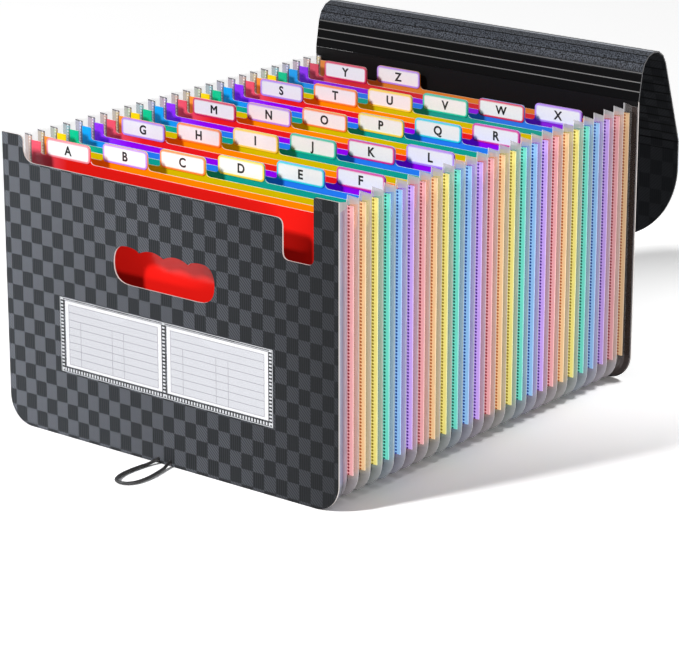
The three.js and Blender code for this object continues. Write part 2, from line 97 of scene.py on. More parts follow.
camera_data = bpy.data.cameras.new("camera")
camera_data.sensor_fit = "HORIZONTAL"
camera_data.sensor_width = SENSOR_WIDTH
camera_data.lens = FOCAL_LENGTH
camera = bpy.data.objects.new("camera", camera_data)
camera.location = CAMERA_PLACE
camera.rotation_euler = CAMERA_FORWARD.to_track_quat("-Z", "Y").to_euler()
bpy.context.scene.collection.objects.link(camera)
bpy.context.scene.camera = camera
print("camera distance", round(camera.location.length, 2), "m")

# %% [markdown]
# Materials are node trees. Colours are written as sRGB hex, the way a colour picker shows them, and one
# function turns them linear, which is what a shader needs. One helper adds a node: it sets the node's own
# settings, then gives each input either a number or another node's output. Most finishes here are a base
# colour with marks on it, so the other helpers make masks, combine them, and lay colours over each other.

# %% Colour and node helpers
def linear(hex_colour):
    channels = [int(hex_colour[i:i + 2], 16) / 255 for i in (1, 3, 5)]
    return [c / 12.92 if c <= 0.04045 else ((c + 0.055) / 1.055) ** 2.4 for c in channels] + [1.0]


def add_node(tree, kind, inputs=None, **settings):
    node = tree.nodes.new("ShaderNode" + kind)
    for name, value in settings.items():
        setattr(node, name, value)
    for socket, value in (inputs or {}).items():
        if isinstance(value, bpy.types.NodeSocket):
            tree.links.new(value, node.inputs[socket])
        else:
            node.inputs[socket].default_value = value
    return node


def new_material(name, roughness, ior):
    material = bpy.data.materials.new(name)
    material.use_nodes = True
    tree = material.node_tree
    shader = tree.nodes["Principled BSDF"]
    shader.inputs["Roughness"].default_value = roughness
    shader.inputs["IOR"].default_value = ior
    return material, tree, shader


def drawing_axes(tree):
    """The point's X, Y and Z in drawing millimetres, as three sockets"""
    where = add_node(tree, "TexCoord").outputs["Object"]
    moved = add_node(tree, "VectorMath", {0: where, 1: (0, -FRONT_Y, 0)}, operation="ADD").outputs[0]
    scaled = add_node(tree, "VectorMath", {0: moved, "Scale": 1 / MM}, operation="SCALE").outputs[0]
    return add_node(tree, "SeparateXYZ", {0: scaled}).outputs


def sheet_axes(tree):
    """Across and along a sheet that has texture coordinates, as two sockets in drawing millimetres"""
    metres = add_node(tree, "UVMap").outputs[0]
    flat = add_node(tree, "VectorMath", {0: metres, "Scale": 1 / MM}, operation="SCALE").outputs[0]
    return add_node(tree, "SeparateXYZ", {0: flat}).outputs[:2]


def facing(tree):
    """X, Y and Z of the direction that the surface faces, as three sockets"""
    return add_node(tree, "SeparateXYZ", {0: add_node(tree, "NewGeometry").outputs["True Normal"]}).outputs


def painted_over(tree, base, layers):
    """The base colour under layers of paint, each a mask and the colour that shows where the mask is 1"""
    for mask, paint in layers:
        base = add_node(tree, "Mix", {0: mask, 6: base, 7: paint}, data_type="RGBA").outputs[2]
    return base


def combined(tree, how, *masks):
    """One mask from many: MULTIPLY is 1 where all of them are, MAXIMUM where any of them is"""
    total = masks[0]
    for mask in masks[1:]:
        total = add_node(tree, "Math", {0: total, 1: mask}, operation=how).outputs[0]
    return total


def between(tree, value, start, end):
    """1 where a socket's value lies between two limits"""
    above = add_node(tree, "Math", {0: value, 1: start}, operation="GREATER_THAN").outputs[0]
    below = add_node(tree, "Math", {0: value, 1: end}, operation="LESS_THAN").outputs[0]
    return combined(tree, "MULTIPLY", above, below)


def paler(colour, kept, white):
    """A linear colour with white mixed in"""
    return [kept * c + white for c in colour[:3]] + [1.0]


def put_on(node_name, material):
    """Gives a solid of the frame its finish"""
    node = nodes[node_name]
    node.data.materials.clear()
    node.data.materials.append(material)


print("polypropylene red as linear light:", [round(c, 3) for c in linear("#e8201c")])

# %% [markdown]
# The elastic is a soft round cord. It leaves one eyelet at the foot of the front cover, lies in a loop on
# the table, and goes back into the other eyelet. It could be a simulated rope, but the photograph shows the
# whole loop, so a smooth curve through the route's points is exact and gives the same result each run. A
# curve with a round bevel is a tube, and the points repeat the route that the solid follows.

# %% Elastic loop
CORD_DIAMETER = 2.6
CORD_LYING = CORD_DIAMETER / 2 + 0.1
EYELET_Z = 3.2
CORD_INSIDE = 0.9
loop_route = [
    (-9.9, CORD_INSIDE, EYELET_Z), (-9.9, -1.6, EYELET_Z), (-10.9, -5.1, 2.2), (-12, -10.5, CORD_LYING),
    (-12.8, -17.2, CORD_LYING), (-13.4, -26.7, CORD_LYING), (-12.9, -36.3, CORD_LYING),
    (-11.2, -43.7, CORD_LYING), (-8.2, -49.2, CORD_LYING), (-3.3, -51.6, CORD_LYING),
    (1.9, -50.8, CORD_LYING), (5.6, -47.2, CORD_LYING), (7.6, -41.2, CORD_LYING), (8, -31.6, CORD_LYING),
    (6.3, -19.4, CORD_LYING), (4.3, -10.5, CORD_LYING), (2.9, -5.3, 2.2), (2, -1.6, EYELET_Z),
    (2, CORD_INSIDE, EYELET_Z),
]


def through(points, steps):
    """Points on a smooth curve through the given ones"""
    padded = [2 * points[0] - points[1]] + points + [2 * points[-1] - points[-2]]
    smooth = []
    for a, b, c, d in zip(padded, padded[1:], padded[2:], padded[3:]):
        for i in range(steps):
            t = i / steps
            smooth.append(0.5 * ((2 * b) + (c - a) * t + (2 * a - 5 * b + 4 * c - d) * t ** 2
                                 + (3 * b - a - 3 * c + d) * t ** 3))
    return smooth + [points[-1]]


def cord_curve(name, points, diameter):
    data = bpy.data.curves.new(name, "CURVE")
    data.dimensions = "3D"
    data.bevel_depth = 1.0
    data.bevel_resolution = 5
    data.use_fill_caps = True
    spline = data.splines.new("POLY")
    spline.points.add(len(points) - 1)
    for point, where in zip(spline.points, points):
        point.co = (*where, 1)
        point.radius = diameter * MM / 2
    thing = bpy.data.objects.new(name, data)
    bpy.context.scene.collection.objects.link(thing)
    return thing


route = through([place(*point) for point in loop_route], 6)
elastic = cord_curve("closing_elastic", route, CORD_DIAMETER)
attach(elastic, "file")
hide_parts("elastic_loop")

# %% [markdown]
# Braided elastic is a rubber core in a fine nylon sleeve. The eye sees a black cord with a soft sheen along
# its top, broken by the slanting threads. A real texture of the braid would need coordinates along the
# cord, so two crossed wave patterns in space stand in for it: at this size only the broken sheen reads.

# %% Braided nylon elastic
BRAID_STEP = 1.1
# One thread is too fine to show, so three are drawn as one
THREADS_DRAWN_AS_ONE = 3


def braided_elastic():
    material, tree, shader = new_material("braided_nylon_elastic", 0.5, 1.53)
    where = add_node(tree, "TexCoord").outputs["Object"]
    waves = []
    step = THREADS_DRAWN_AS_ONE * BRAID_STEP * MM
    for axis in ("X", "Y"):
        wave = add_node(tree, "TexWave", {"Vector": where, "Scale": 1 / step}, wave_type="BANDS",
                        bands_direction=axis)
        waves.append(wave.outputs["Fac"])
    threads = add_node(tree, "Math", {0: waves[0], 1: waves[1]}, operation="MULTIPLY").outputs[0]
    bump = add_node(tree, "Bump", {"Height": threads, "Strength": 0.35, "Distance": 0.2 * MM})
    tree.links.new(bump.outputs[0], shader.inputs["Normal"])
    shader.inputs["Base Color"].default_value = linear("#0c0c0e")
    shader.inputs["Sheen Weight"].default_value = 0.1
    return material


elastic.data.materials.append(braided_elastic())
print("elastic finish:", elastic.data.materials[0].name)

# %% [markdown]
# Now the stage. A product photograph like this one stands on white paper: the paper is white everywhere
# except for a soft shadow. The floor is a plain diffuse sheet that is whiter for the camera than as a
# source of bounced light, so it reaches white where the light is full and still darkens where the object
# shades it. The world is white for the camera and dimmer as a light.

# %% Floor and world
FLOOR_SIZE = 12
# The floor lies a hair below the object, so that no face of it shares the floor's plane
FLOOR_GAP = 0.2
PAPER_WHITE = (1.54, 1.54, 1.54, 1)
WORLD_LIGHT = 0.09


def seen_directly(tree):
    """1 for camera, mirror and see-through rays, 0 for rays that carry light"""
    paths = add_node(tree, "LightPath").outputs
    seen = add_node(tree, "Math", {0: paths["Is Camera Ray"], 1: paths["Is Glossy Ray"]}, operation="MAXIMUM")
    return add_node(tree, "Math", {0: seen.outputs[0], 1: paths["Is Transmission Ray"]},
                    operation="MAXIMUM").outputs[0]


def white_paper():
    material = bpy.data.materials.new("white_paper_sweep")
    material.use_nodes = True
    tree = material.node_tree
    tree.nodes.clear()
    seen = seen_directly(tree)
    bounce = add_node(tree, "Mix", {0: seen, 6: linear("#c4c4c4"), 7: PAPER_WHITE}, data_type="RGBA")
    matt = add_node(tree, "BsdfDiffuse", {"Color": bounce.outputs[2]})
    add_node(tree, "OutputMaterial", {"Surface": matt.outputs[0]})
    return material


bpy.ops.mesh.primitive_plane_add(size=FLOOR_SIZE, location=(0, 0, -FLOOR_GAP * MM))
floor = bpy.context.object
floor.name = "paper_floor"
floor.data.materials.append(white_paper())

world = bpy.data.worlds.new("studio")
bpy.context.scene.world = world
world.use_nodes = True
sky = world.node_tree
sky.nodes.clear()
strength = add_node(sky, "MapRange", {"Value": seen_directly(sky), "To Min": WORLD_LIGHT, "To Max": 1.0})
backdrop = add_node(sky, "Background", {"Color": linear("#ffffff"), "Strength": strength.outputs[0]})
add_node(sky, "OutputWorld", {"Surface": backdrop.outputs[0]})
bpy.context.scene.view_settings.view_transform = "Standard"
print("floor", FLOOR_SIZE, "m across")

# %% [markdown]
# The shadow tells where the key lamp stood: it leaves the front corner and runs back to the right, so the
# lamp is in front of the cover, to the left, about a third of the way up the sky. It also makes the cover
# brighter on its left. The pleated side faces away from it, so a low, wide panel stands on that side. It is
# low because light that skims the floor brightens the upright pleats and leaves the shadow on the floor
# dark. A small lamp over the floor behind fades the far end of the shadow out.

# %% Lamps
def hang(data, where, aim):
    lamp = bpy.data.objects.new(data.name, data)
    lamp.location = where
    lamp.rotation_euler = (Vector(aim) - Vector(where)).to_track_quat("-Z", "Y").to_euler()
    bpy.context.scene.collection.objects.link(lamp)
    return lamp


def soft_lamp(name, where, aim, size, watts):
    data = bpy.data.lights.new(name, "AREA")
    data.shape = "RECTANGLE"
    data.size, data.size_y = size
    data.energy = watts
    return hang(data, where, aim)


def round_lamp(name, where, aim, cone, watts):
    """A spot whose light fades out towards the rim of its cone"""
    data = bpy.data.lights.new(name, "SPOT")
    data.spot_size = math.radians(cone)
    data.spot_blend = 1.0
    data.shadow_soft_size = 0.15
    data.energy = watts
    return hang(data, where, aim)


AIM = (0, 0, 0.12)
lamps = [
    soft_lamp("key_lamp", (-6.0, -13.2, 10.6), AIM, (2.2, 2.2), 3200),
    soft_lamp("pleat_lamp", (2.3, -1.4, 0.15), AIM, (1.7, 0.22), 56),
    round_lamp("rear_floor_lamp", (0.46, 0.62, 1.0), (0.2, 0.3, 0), 42, 34),
]
print("lamps:", [lamp.name for lamp in lamps])

# %% [markdown]
# The covers and the flap are embossed polypropylene sheet. Its outside carries a check of two finishes:
# light cells with a fine slanting hatch and dark cells with fine upright lines. An image could hold this
# pattern, but it is only arithmetic: the cell number along each side, added up, is even or odd. The inside
# of the same sheet is plain. The cut edge scatters light, so it shows as a pale line round every hole and
# along the rim.

# %% Check of the embossed sheet
CELL_WIDTH = 11.03
CELL_HEIGHT = 12.4
CELL_START_X = -136.74
CELL_START_Z = 200.9
# The real hatch is finer than the picture can show, so it is drawn about twice as coarse
HATCH_STEP = 2.0
SLANT_SPREAD = 1.4
FLAP_CREASED_LENGTH = 150
FLAP_LINE_WIDTH = 1.2
# The emboss has grains of about 0.4 mm; 900 to the metre is the finest that shows
EMBOSS_GRAINS = 900
EMBOSS_SHARE = 0.12
# The outside is lit from the left, and painted shade darkens its colour towards the right, to this share of
# black at the right edge
PAINTED_SHADE_SHARE = 0.84
# A face counts as facing an axis when its direction has more than this share of it
HALF_TURNED = 0.5


def even_odd_cells(tree, across, up):
    """0 or 1 by turns over the cells of a check, from two sockets in millimetres"""
    numbers = []
    for value, start, size in ((across, CELL_START_X, CELL_WIDTH), (up, CELL_START_Z, CELL_HEIGHT)):
        shifted = add_node(tree, "Math", {0: value, 1: start}, operation="SUBTRACT").outputs[0]
        counted = add_node(tree, "Math", {0: shifted, 1: size}, operation="DIVIDE").outputs[0]
        numbers.append(add_node(tree, "Math", {0: counted}, operation="FLOOR").outputs[0])
    total = add_node(tree, "Math", {0: numbers[0], 1: numbers[1]}, operation="ADD").outputs[0]
    return add_node(tree, "Math", {0: total, 1: 2}, operation="FLOORED_MODULO").outputs[0]


def ridges(tree, value, step):
    """Fine ridges of the given spacing along a socket in millimetres, from 0 to 1"""
    turned = add_node(tree, "Math", {0: value, 1: 2 * math.pi / step}, operation="MULTIPLY").outputs[0]
    wave = add_node(tree, "Math", {0: turned}, operation="SINE").outputs[0]
    return add_node(tree, "Math", {0: wave, 1: 0.5, 2: 0.5}, operation="MULTIPLY_ADD").outputs[0]


def crease_lines(tree, along, step, width):
    """1 on the scored lines that cross the sheet every step"""
    away = add_node(tree, "Math", {0: along, 1: step / 2}, operation="PINGPONG").outputs[0]
    return add_node(tree, "Math", {0: away, 1: width / 2}, operation="LESS_THAN").outputs[0]


def checked_sheet(name, outside_sign, tones, uv=False, folded_top=False):
    """Embossed polypropylene. outside_sign is the side of Y that has the check, or 0 for the whole surface"""
    material, tree, shader = new_material(name, 0.5, 1.49)
    shader.inputs["Specular IOR Level"].default_value = 0.12
    if uv:
        across, up = sheet_axes(tree)
    else:
        across, _, up = drawing_axes(tree)
    cell = even_odd_cells(tree, across, up)
    slant = add_node(tree, "Math", {0: across, 1: up}, operation="ADD").outputs[0]
    hatch = ridges(tree, slant, HATCH_STEP * SLANT_SPREAD)
    upright = ridges(tree, across, HATCH_STEP)
    light_low, light_high, dark_low, dark_high = [linear(tone) for tone in tones]
    light_cell = painted_over(tree, light_low, [(hatch, light_high)])
    dark_cell = painted_over(tree, dark_low, [(upright, dark_high)])
    check = painted_over(tree, dark_cell, [(cell, light_cell)])
    grain = add_node(tree, "TexNoise", {"Vector": add_node(tree, "TexCoord").outputs["Object"],
                                        "Scale": EMBOSS_GRAINS, "Detail": 2})
    embossed = add_node(tree, "Mix", {0: EMBOSS_SHARE, 6: check, 7: grain.outputs["Color"]}, data_type="RGBA",
                        blend_type="OVERLAY").outputs[2]
    # Painted shade: the colour darkens from left to right across the sheet
    painted_shade = add_node(tree, "MapRange", {"Value": across, "From Min": -WIDTH / 2, "From Max": WIDTH / 2,
                                       "To Max": PAINTED_SHADE_SHARE}).outputs[0]
    colour = painted_over(tree, embossed, [(painted_shade, linear("#0d0e10"))])
    if uv:
        along = add_node(tree, "Math", {0: up, 1: CELL_START_Z}, operation="SUBTRACT").outputs[0]
        creased = add_node(tree, "Math", {0: along, 1: FLAP_CREASED_LENGTH}, operation="LESS_THAN").outputs[0]
        lines = combined(tree, "MULTIPLY", crease_lines(tree, along, CREASE_STEP, FLAP_LINE_WIDTH), creased)
        colour = painted_over(tree, colour, [(lines, linear("#050506"))])
    if outside_sign:
        _, facing_y, facing_up = facing(tree)
        outward = add_node(tree, "Math", {0: facing_y, 1: outside_sign}, operation="MULTIPLY").outputs[0]
        outside = add_node(tree, "Math", {0: outward, 1: HALF_TURNED}, operation="GREATER_THAN").outputs[0]
        turned = add_node(tree, "Math", {0: facing_y}, operation="ABSOLUTE").outputs[0]
        edge = add_node(tree, "Math", {0: turned, 1: HALF_TURNED}, operation="LESS_THAN").outputs[0]
        if folded_top:
            cut = add_node(tree, "Math", {0: facing_up, 1: HALF_TURNED}, operation="LESS_THAN").outputs[0]
            edge = combined(tree, "MULTIPLY", edge, cut)
        inside = painted_over(tree, linear("#0c0c0d"), [(edge, linear("#ddd6d2"))])
        colour = painted_over(tree, inside, [(outside, colour)])
    tree.links.new(colour, shader.inputs["Base Color"])
    relief = add_node(tree, "Mix", {0: cell, 2: upright, 3: hatch}, data_type="FLOAT").outputs[0]
    bump = add_node(tree, "Bump", {"Height": relief, "Strength": 0.25, "Distance": 0.15 * MM})
    tree.links.new(bump.outputs[0], shader.inputs["Normal"])
    return material


cover_tones = ("#44474c", "#74777f", "#26282b", "#3c3f43")
# The flap is the same sheet as the covers; its tones are a darker copy with less contrast, painted shade
shaded_flap_tones = ("#3c3e42", "#4c4e53", "#2a2c30", "#37393d")
put_on("front_cover", checked_sheet("embossed_check_polypropylene_front", -1, cover_tones))
put_on("back_cover", checked_sheet("embossed_check_polypropylene_back", 1, cover_tones, folded_top=True))
print("check cells", CELL_WIDTH, "by", CELL_HEIGHT, "mm")

# %% [markdown]
# The flap is one springy sheet. It rises from the back cover, turns over a round crest and hangs down
# behind, with a scored crease every few millimetres, so between two creases it stays flat. The sheet is
# built by walking along its line in steps of one crease, a plain loop instead of a bend modifier, because
# the loop also knows how far along the sheet each point is. That distance becomes the texture coordinate,
# so the check runs over the crest without stretching.

# %% Flap sheet
SHEET = 1.2
FLAP_START = (BACK_COVER_Y + SHEET / 2, HEIGHT + 0.3)
FLAP_RISE = 22.6
FLAP_LEAN = math.radians(10)
CREST_RADIUS = 17.6
HANG_LEAN = math.radians(18.7)
CREASED_HANG = 73
PLAIN_HANG = 92
PLAIN_LEAN = math.radians(1)
CREASE_STEP = 7.5
FLAP_CORNER = 70
CORNER_STEPS = 28


def flap_line():
    """Points of the sheet's middle line in Y and Z, each with its distance along the sheet"""
    line = [(*FLAP_START, 0.0)]

    def step(angle, length):
        y, z, along = line[-1]
        line.append((y + length * math.sin(angle), z + length * math.cos(angle), along + length))

    rise_steps = round(FLAP_RISE / CREASE_STEP)
    for _ in range(rise_steps):
        step(FLAP_LEAN, FLAP_RISE / rise_steps)
    turn = math.pi - FLAP_LEAN - HANG_LEAN
    crest_steps = round(turn * CREST_RADIUS / CREASE_STEP)
    for i in range(crest_steps):
        step(FLAP_LEAN + (i + 0.5) / crest_steps * turn, 2 * CREST_RADIUS * math.sin(turn / crest_steps / 2))
    hang_steps = round(CREASED_HANG / CREASE_STEP)
    for _ in range(hang_steps):
        step(math.pi - HANG_LEAN, CREASED_HANG / hang_steps)
    step(math.pi - PLAIN_LEAN, PLAIN_HANG - FLAP_CORNER)
    top_y, top_z, top_along = line[-1]
    for i in range(1, CORNER_STEPS + 1):
        down = FLAP_CORNER * math.sin(i / CORNER_STEPS * math.pi / 2)
        line.append((top_y + down * math.sin(PLAIN_LEAN), top_z - down * math.cos(PLAIN_LEAN),
                     top_along + down))
    return line


def flap_half_width(i, count):
    into_corner = i - (count - 1 - CORNER_STEPS)
    if into_corner <= 0:
        return WIDTH / 2
    return WIDTH / 2 - FLAP_CORNER + FLAP_CORNER * math.cos(into_corner / CORNER_STEPS * math.pi / 2)


FLAP_COLUMNS = 24


def flap_sheet_mesh():
    line = flap_line()
    mesh = bpy.data.meshes.new("flap_sheet")
    work = bmesh.new()
    along_layer = work.loops.layers.uv.new("UVMap")
    rows = []
    for i, (y, z, along) in enumerate(line):
        half = flap_half_width(i, len(line))
        before = line[max(i - 1, 0)]
        after = line[min(i + 1, len(line) - 1)]
        direction = Vector((after[0] - before[0], after[1] - before[1])).normalized()
        out = (direction[1] * SHEET / 2, -direction[0] * SHEET / 2)
        sides = []
        for sign in (-1, 1):
            sides.append([(work.verts.new(place(half * (2 * k / FLAP_COLUMNS - 1), y + sign * out[0],
                                                z + sign * out[1])), along) for k in range(FLAP_COLUMNS + 1)])
        rows.append(sides)

    def face(corners, slot):
        made = work.faces.new([vert for vert, _ in corners])
        made.material_index = slot
        for loop, (vert, along) in zip(made.loops, corners):
            loop[along_layer].uv = (vert.co.x, CELL_START_Z * MM + along * MM)

    for lower, upper in zip(rows, rows[1:]):
        for side, slot in ((0, 1), (1, 0)):
            for k in range(FLAP_COLUMNS):
                corners = [lower[side][k], lower[side][k + 1], upper[side][k + 1], upper[side][k]]
                face(corners if side == 0 else corners[::-1], slot)
        for k in (0, FLAP_COLUMNS):
            corners = [lower[0][k], upper[0][k], upper[1][k], lower[1][k]]
            face(corners if k == 0 else corners[::-1], 2)
    for row, flip in ((rows[0], False), (rows[-1], True)):
        for k in range(FLAP_COLUMNS):
            corners = [row[0][k], row[1][k], row[1][k + 1], row[0][k + 1]]
            face(corners[::-1] if flip else corners, 2)
    work.normal_update()
    work.to_mesh(mesh)
    work.free()
    return mesh


INSIDE_LINE_WIDTH = 0.8
# Distances along the sheet from the fold: where the crown starts, and where the crest starts and ends. Over
# the crest the scored lines carry a painted highlight
CROWN_FROM = (21.0, 26.0)
CREST_FROM = (41.0, 44.0)
CREST_TO = (54.0, 58.0)
# The crown's speckle is dust and painted sheen. Dust is far finer than this; 1100 grains to the metre is the
# finest that shows
SPECKLE_GRAINS = 1100


def smooth_inside(name):
    """Plain inner side of the sheet: satin black with scored creases. Dust from handling and painted sheen
    speckle the crown grey, the scored lines over the crest are pale with a painted highlight, and the part
    below the crown stays almost black."""
    material, tree, shader = new_material(name, 0.34, 1.49)
    shader.inputs["Specular IOR Level"].default_value = 0.05
    _, up = sheet_axes(tree)
    along = add_node(tree, "Math", {0: up, 1: CELL_START_Z}, operation="SUBTRACT").outputs[0]
    above_fold = add_node(tree, "Math", {0: along, 1: CREASE_STEP / 2}, operation="GREATER_THAN").outputs[0]
    creases = combined(tree, "MULTIPLY", crease_lines(tree, along, CREASE_STEP, INSIDE_LINE_WIDTH),
                       above_fold)
    crown = add_node(tree, "MapRange", {"Value": along, "From Min": CROWN_FROM[0],
                                        "From Max": CROWN_FROM[1]}).outputs[0]
    grain = add_node(tree, "TexNoise", {"Vector": add_node(tree, "TexCoord").outputs["Object"],
                                        "Scale": SPECKLE_GRAINS, "Detail": 0})
    speckle = add_node(tree, "MapRange", {"Value": grain.outputs["Fac"], "From Min": 0.3,
                                          "From Max": 0.7}).outputs[0]
    # Dust and painted sheen: grey speckle on the crown
    dust_and_sheen = painted_over(tree, linear("#0a0b0d"), [(speckle, linear("#4e525a"))])
    sheet = painted_over(tree, linear("#060607"), [(crown, dust_and_sheen)])
    # Painted highlight: the scored lines turn pale over the crest
    rising = add_node(tree, "MapRange", {"Value": along, "From Min": CREST_FROM[0],
                                         "From Max": CREST_FROM[1]}).outputs[0]
    falling = add_node(tree, "MapRange", {"Value": along, "From Min": CREST_TO[1],
                                          "From Max": CREST_TO[0]}).outputs[0]
    crest = combined(tree, "MULTIPLY", rising, falling)
    scored = painted_over(tree, linear("#6d6d6c"), [(crown, linear("#0a0a0b")), (crest, linear("#a4a7ae"))])
    tree.links.new(painted_over(tree, sheet, [(creases, scored)]), shader.inputs["Base Color"])
    return material


BURR_LENGTH = 2.5


def cut_edge():
    """The die leaves a slightly rough edge, greyer than the sheet, with burrs about 2.5 mm long"""
    material, tree, shader = new_material("cut_edge_of_black_sheet", 0.5, 1.49)
    where = add_node(tree, "TexCoord").outputs["Object"]
    burr = add_node(tree, "TexNoise", {"Vector": where, "Scale": 1 / (BURR_LENGTH * MM)})
    tone = painted_over(tree, linear("#2c2c2e"), [(burr.outputs["Fac"], linear("#5c5b5c"))])
    tree.links.new(tone, shader.inputs["Base Color"])
    return material


flap_piece = bpy.data.objects.new("flap_sheet", flap_sheet_mesh())
bpy.context.scene.collection.objects.link(flap_piece)
flap_piece.data.materials.append(checked_sheet("embossed_check_polypropylene_flap", 0, shaded_flap_tones,
                                                uv=True))
flap_piece.data.materials.append(smooth_inside("satin_black_polypropylene"))
flap_piece.data.materials.append(cut_edge())
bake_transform(flap_piece)
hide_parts("flap")
print("flap sheet:", len(flap_piece.data.polygons), "faces")

# %% [markdown]
# The dividers are thin translucent polypropylene in six colours that repeat. Light goes into the sheet and
# comes out again coloured, so the tops glow; that glow is painted, as a faint emission in the sheet's own
# colour. The cut top edge shows as a paler line. Along both sides each divider has a narrow flange that is
# welded to the clear gusset: there a layer of frosted film lies over the colour and turns it pastel, and the
# welding wheel leaves a row of dots. All of that hangs on where a point is on the sheet, so it is worked out
# from the drawing's X and Z instead of painted.

# %% Coloured divider sheet
LEFT_WELD_X = -155.4
RIGHT_WELD_X = 153.4
LEFT_DOTS_X = -158
RIGHT_DOTS_X = 156.4
RIGHT_DOT_STEP = 2.58
RIGHT_DOT_SIZE = 0.92
LEFT_DOT_STEP = 2.4
LEFT_DOT_SIZE = 0.75
# Painted glow: emission in the sheet's own colour stands in for light that comes through the thin sheet from
# the pocket behind it
SHEET_GLOW = 0.13
# Where the frosted strip has its rim, and where the sheet turns into the brighter colour of the left ear
STRIP_RIM_X = 159.9
EAR_FADE_X = (-150.0, -118.0)
# The last dividers stand in the shade of the back cover and the flap
SHADE_FROM_Y = 300.0
SHADE_TO_Y = 392.0
SHADE_SHARE = 0.4
PEBBLE_SIZE = 2.0
dot_colours = ["#8c1c30", "#a85a24", "#84780c", "#045c58", "#0a3e96", "#4c1c86"]
sheet_colours = ["#ea1c16", "#f28c00", "#c6bc00", "#009c96", "#267cf0", "#9600dc"]
ear_colours = ["#f4566c", "#ff9c34", "#ffe000", "#00c896", "#08a8ff", "#9a30ff"]
pastel_colours = ["#ffbaba", "#ffdaa4", "#fcf290", "#7cecdc", "#a2d0ff", "#dcb4ff"]
sheet_names = ["red", "orange", "yellow", "teal", "blue", "purple"]


def dot_row(tree, across, up, centre, step, size):
    """1 on a row of weld dots that runs up the sheet at X = centre"""
    sideways = add_node(tree, "Math", {0: across, 1: centre}, operation="SUBTRACT").outputs[0]
    lengthways = add_node(tree, "Math", {0: up, 1: step / 2}, operation="PINGPONG").outputs[0]
    spot = add_node(tree, "CombineXYZ", {0: sideways, 1: lengthways}).outputs[0]
    distance = add_node(tree, "VectorMath", {0: spot}, operation="LENGTH").outputs["Value"]
    return add_node(tree, "Math", {0: distance, 1: size}, operation="LESS_THAN").outputs[0]


def coloured_sheet(name, colour, ear_colour, pastel, dot_colour):
    material, tree, shader = new_material(name, 0.2, 1.49)
    across, deep, up = drawing_axes(tree)
    left = add_node(tree, "Math", {0: across, 1: LEFT_WELD_X}, operation="LESS_THAN").outputs[0]
    right = add_node(tree, "Math", {0: across, 1: RIGHT_WELD_X}, operation="GREATER_THAN").outputs[0]
    rim = add_node(tree, "Math", {0: across, 1: STRIP_RIM_X}, operation="GREATER_THAN").outputs[0]
    left_dots = dot_row(tree, across, up, LEFT_DOTS_X, LEFT_DOT_STEP, LEFT_DOT_SIZE)
    right_dots = dot_row(tree, across, up, RIGHT_DOTS_X, RIGHT_DOT_STEP, RIGHT_DOT_SIZE)
    facing_up = facing(tree)[2]
    edge = add_node(tree, "Math", {0: facing_up, 1: HALF_TURNED}, operation="GREATER_THAN").outputs[0]
    middle = add_node(tree, "MapRange", {"Value": across, "From Min": EAR_FADE_X[0],
                                         "From Max": EAR_FADE_X[1]}).outputs[0]
    shade = add_node(tree, "MapRange", {"Value": deep, "From Min": SHADE_FROM_Y, "From Max": SHADE_TO_Y,
                                        "To Max": SHADE_SHARE}).outputs[0]
    tone = painted_over(tree, linear(ear_colour), [
        (middle, linear(colour)),
        (right, linear(pastel)),
        (rim, paler(linear(pastel), 0.85, 0.15)),
        (left, paler(linear(colour), 0.3, 0.17)),
        (edge, paler(linear(pastel), 0.6, 0.4)),
        (left_dots, linear("#fbfbfb")),
        (right_dots, linear(dot_colour)),
        (shade, linear("#5c4a50")),
    ])
    tree.links.new(tone, shader.inputs["Base Color"])
    # Painted glow: the sheet gives out its own colour as a faint emission
    tree.links.new(tone, shader.inputs["Emission Color"])
    shader.inputs["Emission Strength"].default_value = SHEET_GLOW
    where = add_node(tree, "TexCoord").outputs["Object"]
    pebble = add_node(tree, "TexNoise", {"Vector": where, "Scale": 1 / (PEBBLE_SIZE * MM)})
    bump = add_node(tree, "Bump", {"Height": pebble.outputs["Fac"], "Strength": 0.08, "Distance": 0.1 * MM})
    tree.links.new(bump.outputs[0], shader.inputs["Normal"])
    return material


divider_finishes = [coloured_sheet("translucent_polypropylene_" + name, *tones)
                    for name, *tones in zip(sheet_names, sheet_colours, ear_colours, pastel_colours,
                                            dot_colours)]
for i, letter in enumerate(letters):
    put_on("divider_" + letter, divider_finishes[i % len(divider_finishes)])
print(len(divider_finishes), "divider colours on", len(letters), "dividers")

# %% [markdown]
# Each tab carries a white paper label behind a thin printed frame whose colour changes from tab to tab. The
# paper itself is the frame's own solid. The printed frame is a flat ring with round corners: two rounded
# outlines, one inside the other, joined by faces. It follows the tab's edge, so one function makes all of
# them.

# %% Printed frames round the labels
FIRST_TAB_X = -139
TAB_WIDTH = 45.2
TAB_STEP = 45.65
TAB_BOTTOM = 215.5
TAB_TOP = 229.9
FRAME_INSET = 0.15
FRAME_MIDDLE = 1.4
FRAME_BAND = 2.0
FRAME_CORNER = 3.2
DIVIDER_HALF = 0.4
FRAME_FRONT = 0.72
FRAME_BACK = 0.1
frame_colours = {
    "crimson": "#e0245c", "pink": "#ff8a98", "lilac": "#bd90f6", "orange": "#ff8c34", "yellow": "#ffe04a",
    "cyan": "#22dcf4", "magenta": "#e41c9c", "teal": "#10cdb0",
}
frame_of_letter = ["pink", "lilac", "orange", "yellow", "cyan", "magenta",
                   "lilac", "orange", "yellow", "teal", "magenta", "lilac",
                   "crimson", "lilac", "orange", "yellow", "cyan", "magenta",
                   "lilac", "orange", "yellow", "teal", "crimson", "lilac",
                   "crimson", "lilac"]


def rounded_outline(x0, x1, z0, z1, radius, steps=5):
    """Points of a rectangle with round corners, counter-clockwise, in X and Z"""
    points = []
    for cx, cz, start in ((x1 - radius, z0 + radius, -90), (x1 - radius, z1 - radius, 0),
                          (x0 + radius, z1 - radius, 90), (x0 + radius, z0 + radius, 180)):
        for i in range(steps + 1):
            angle = math.radians(start + 90 * i / steps)
            points.append((cx + radius * math.cos(angle), cz + radius * math.sin(angle)))
    return points


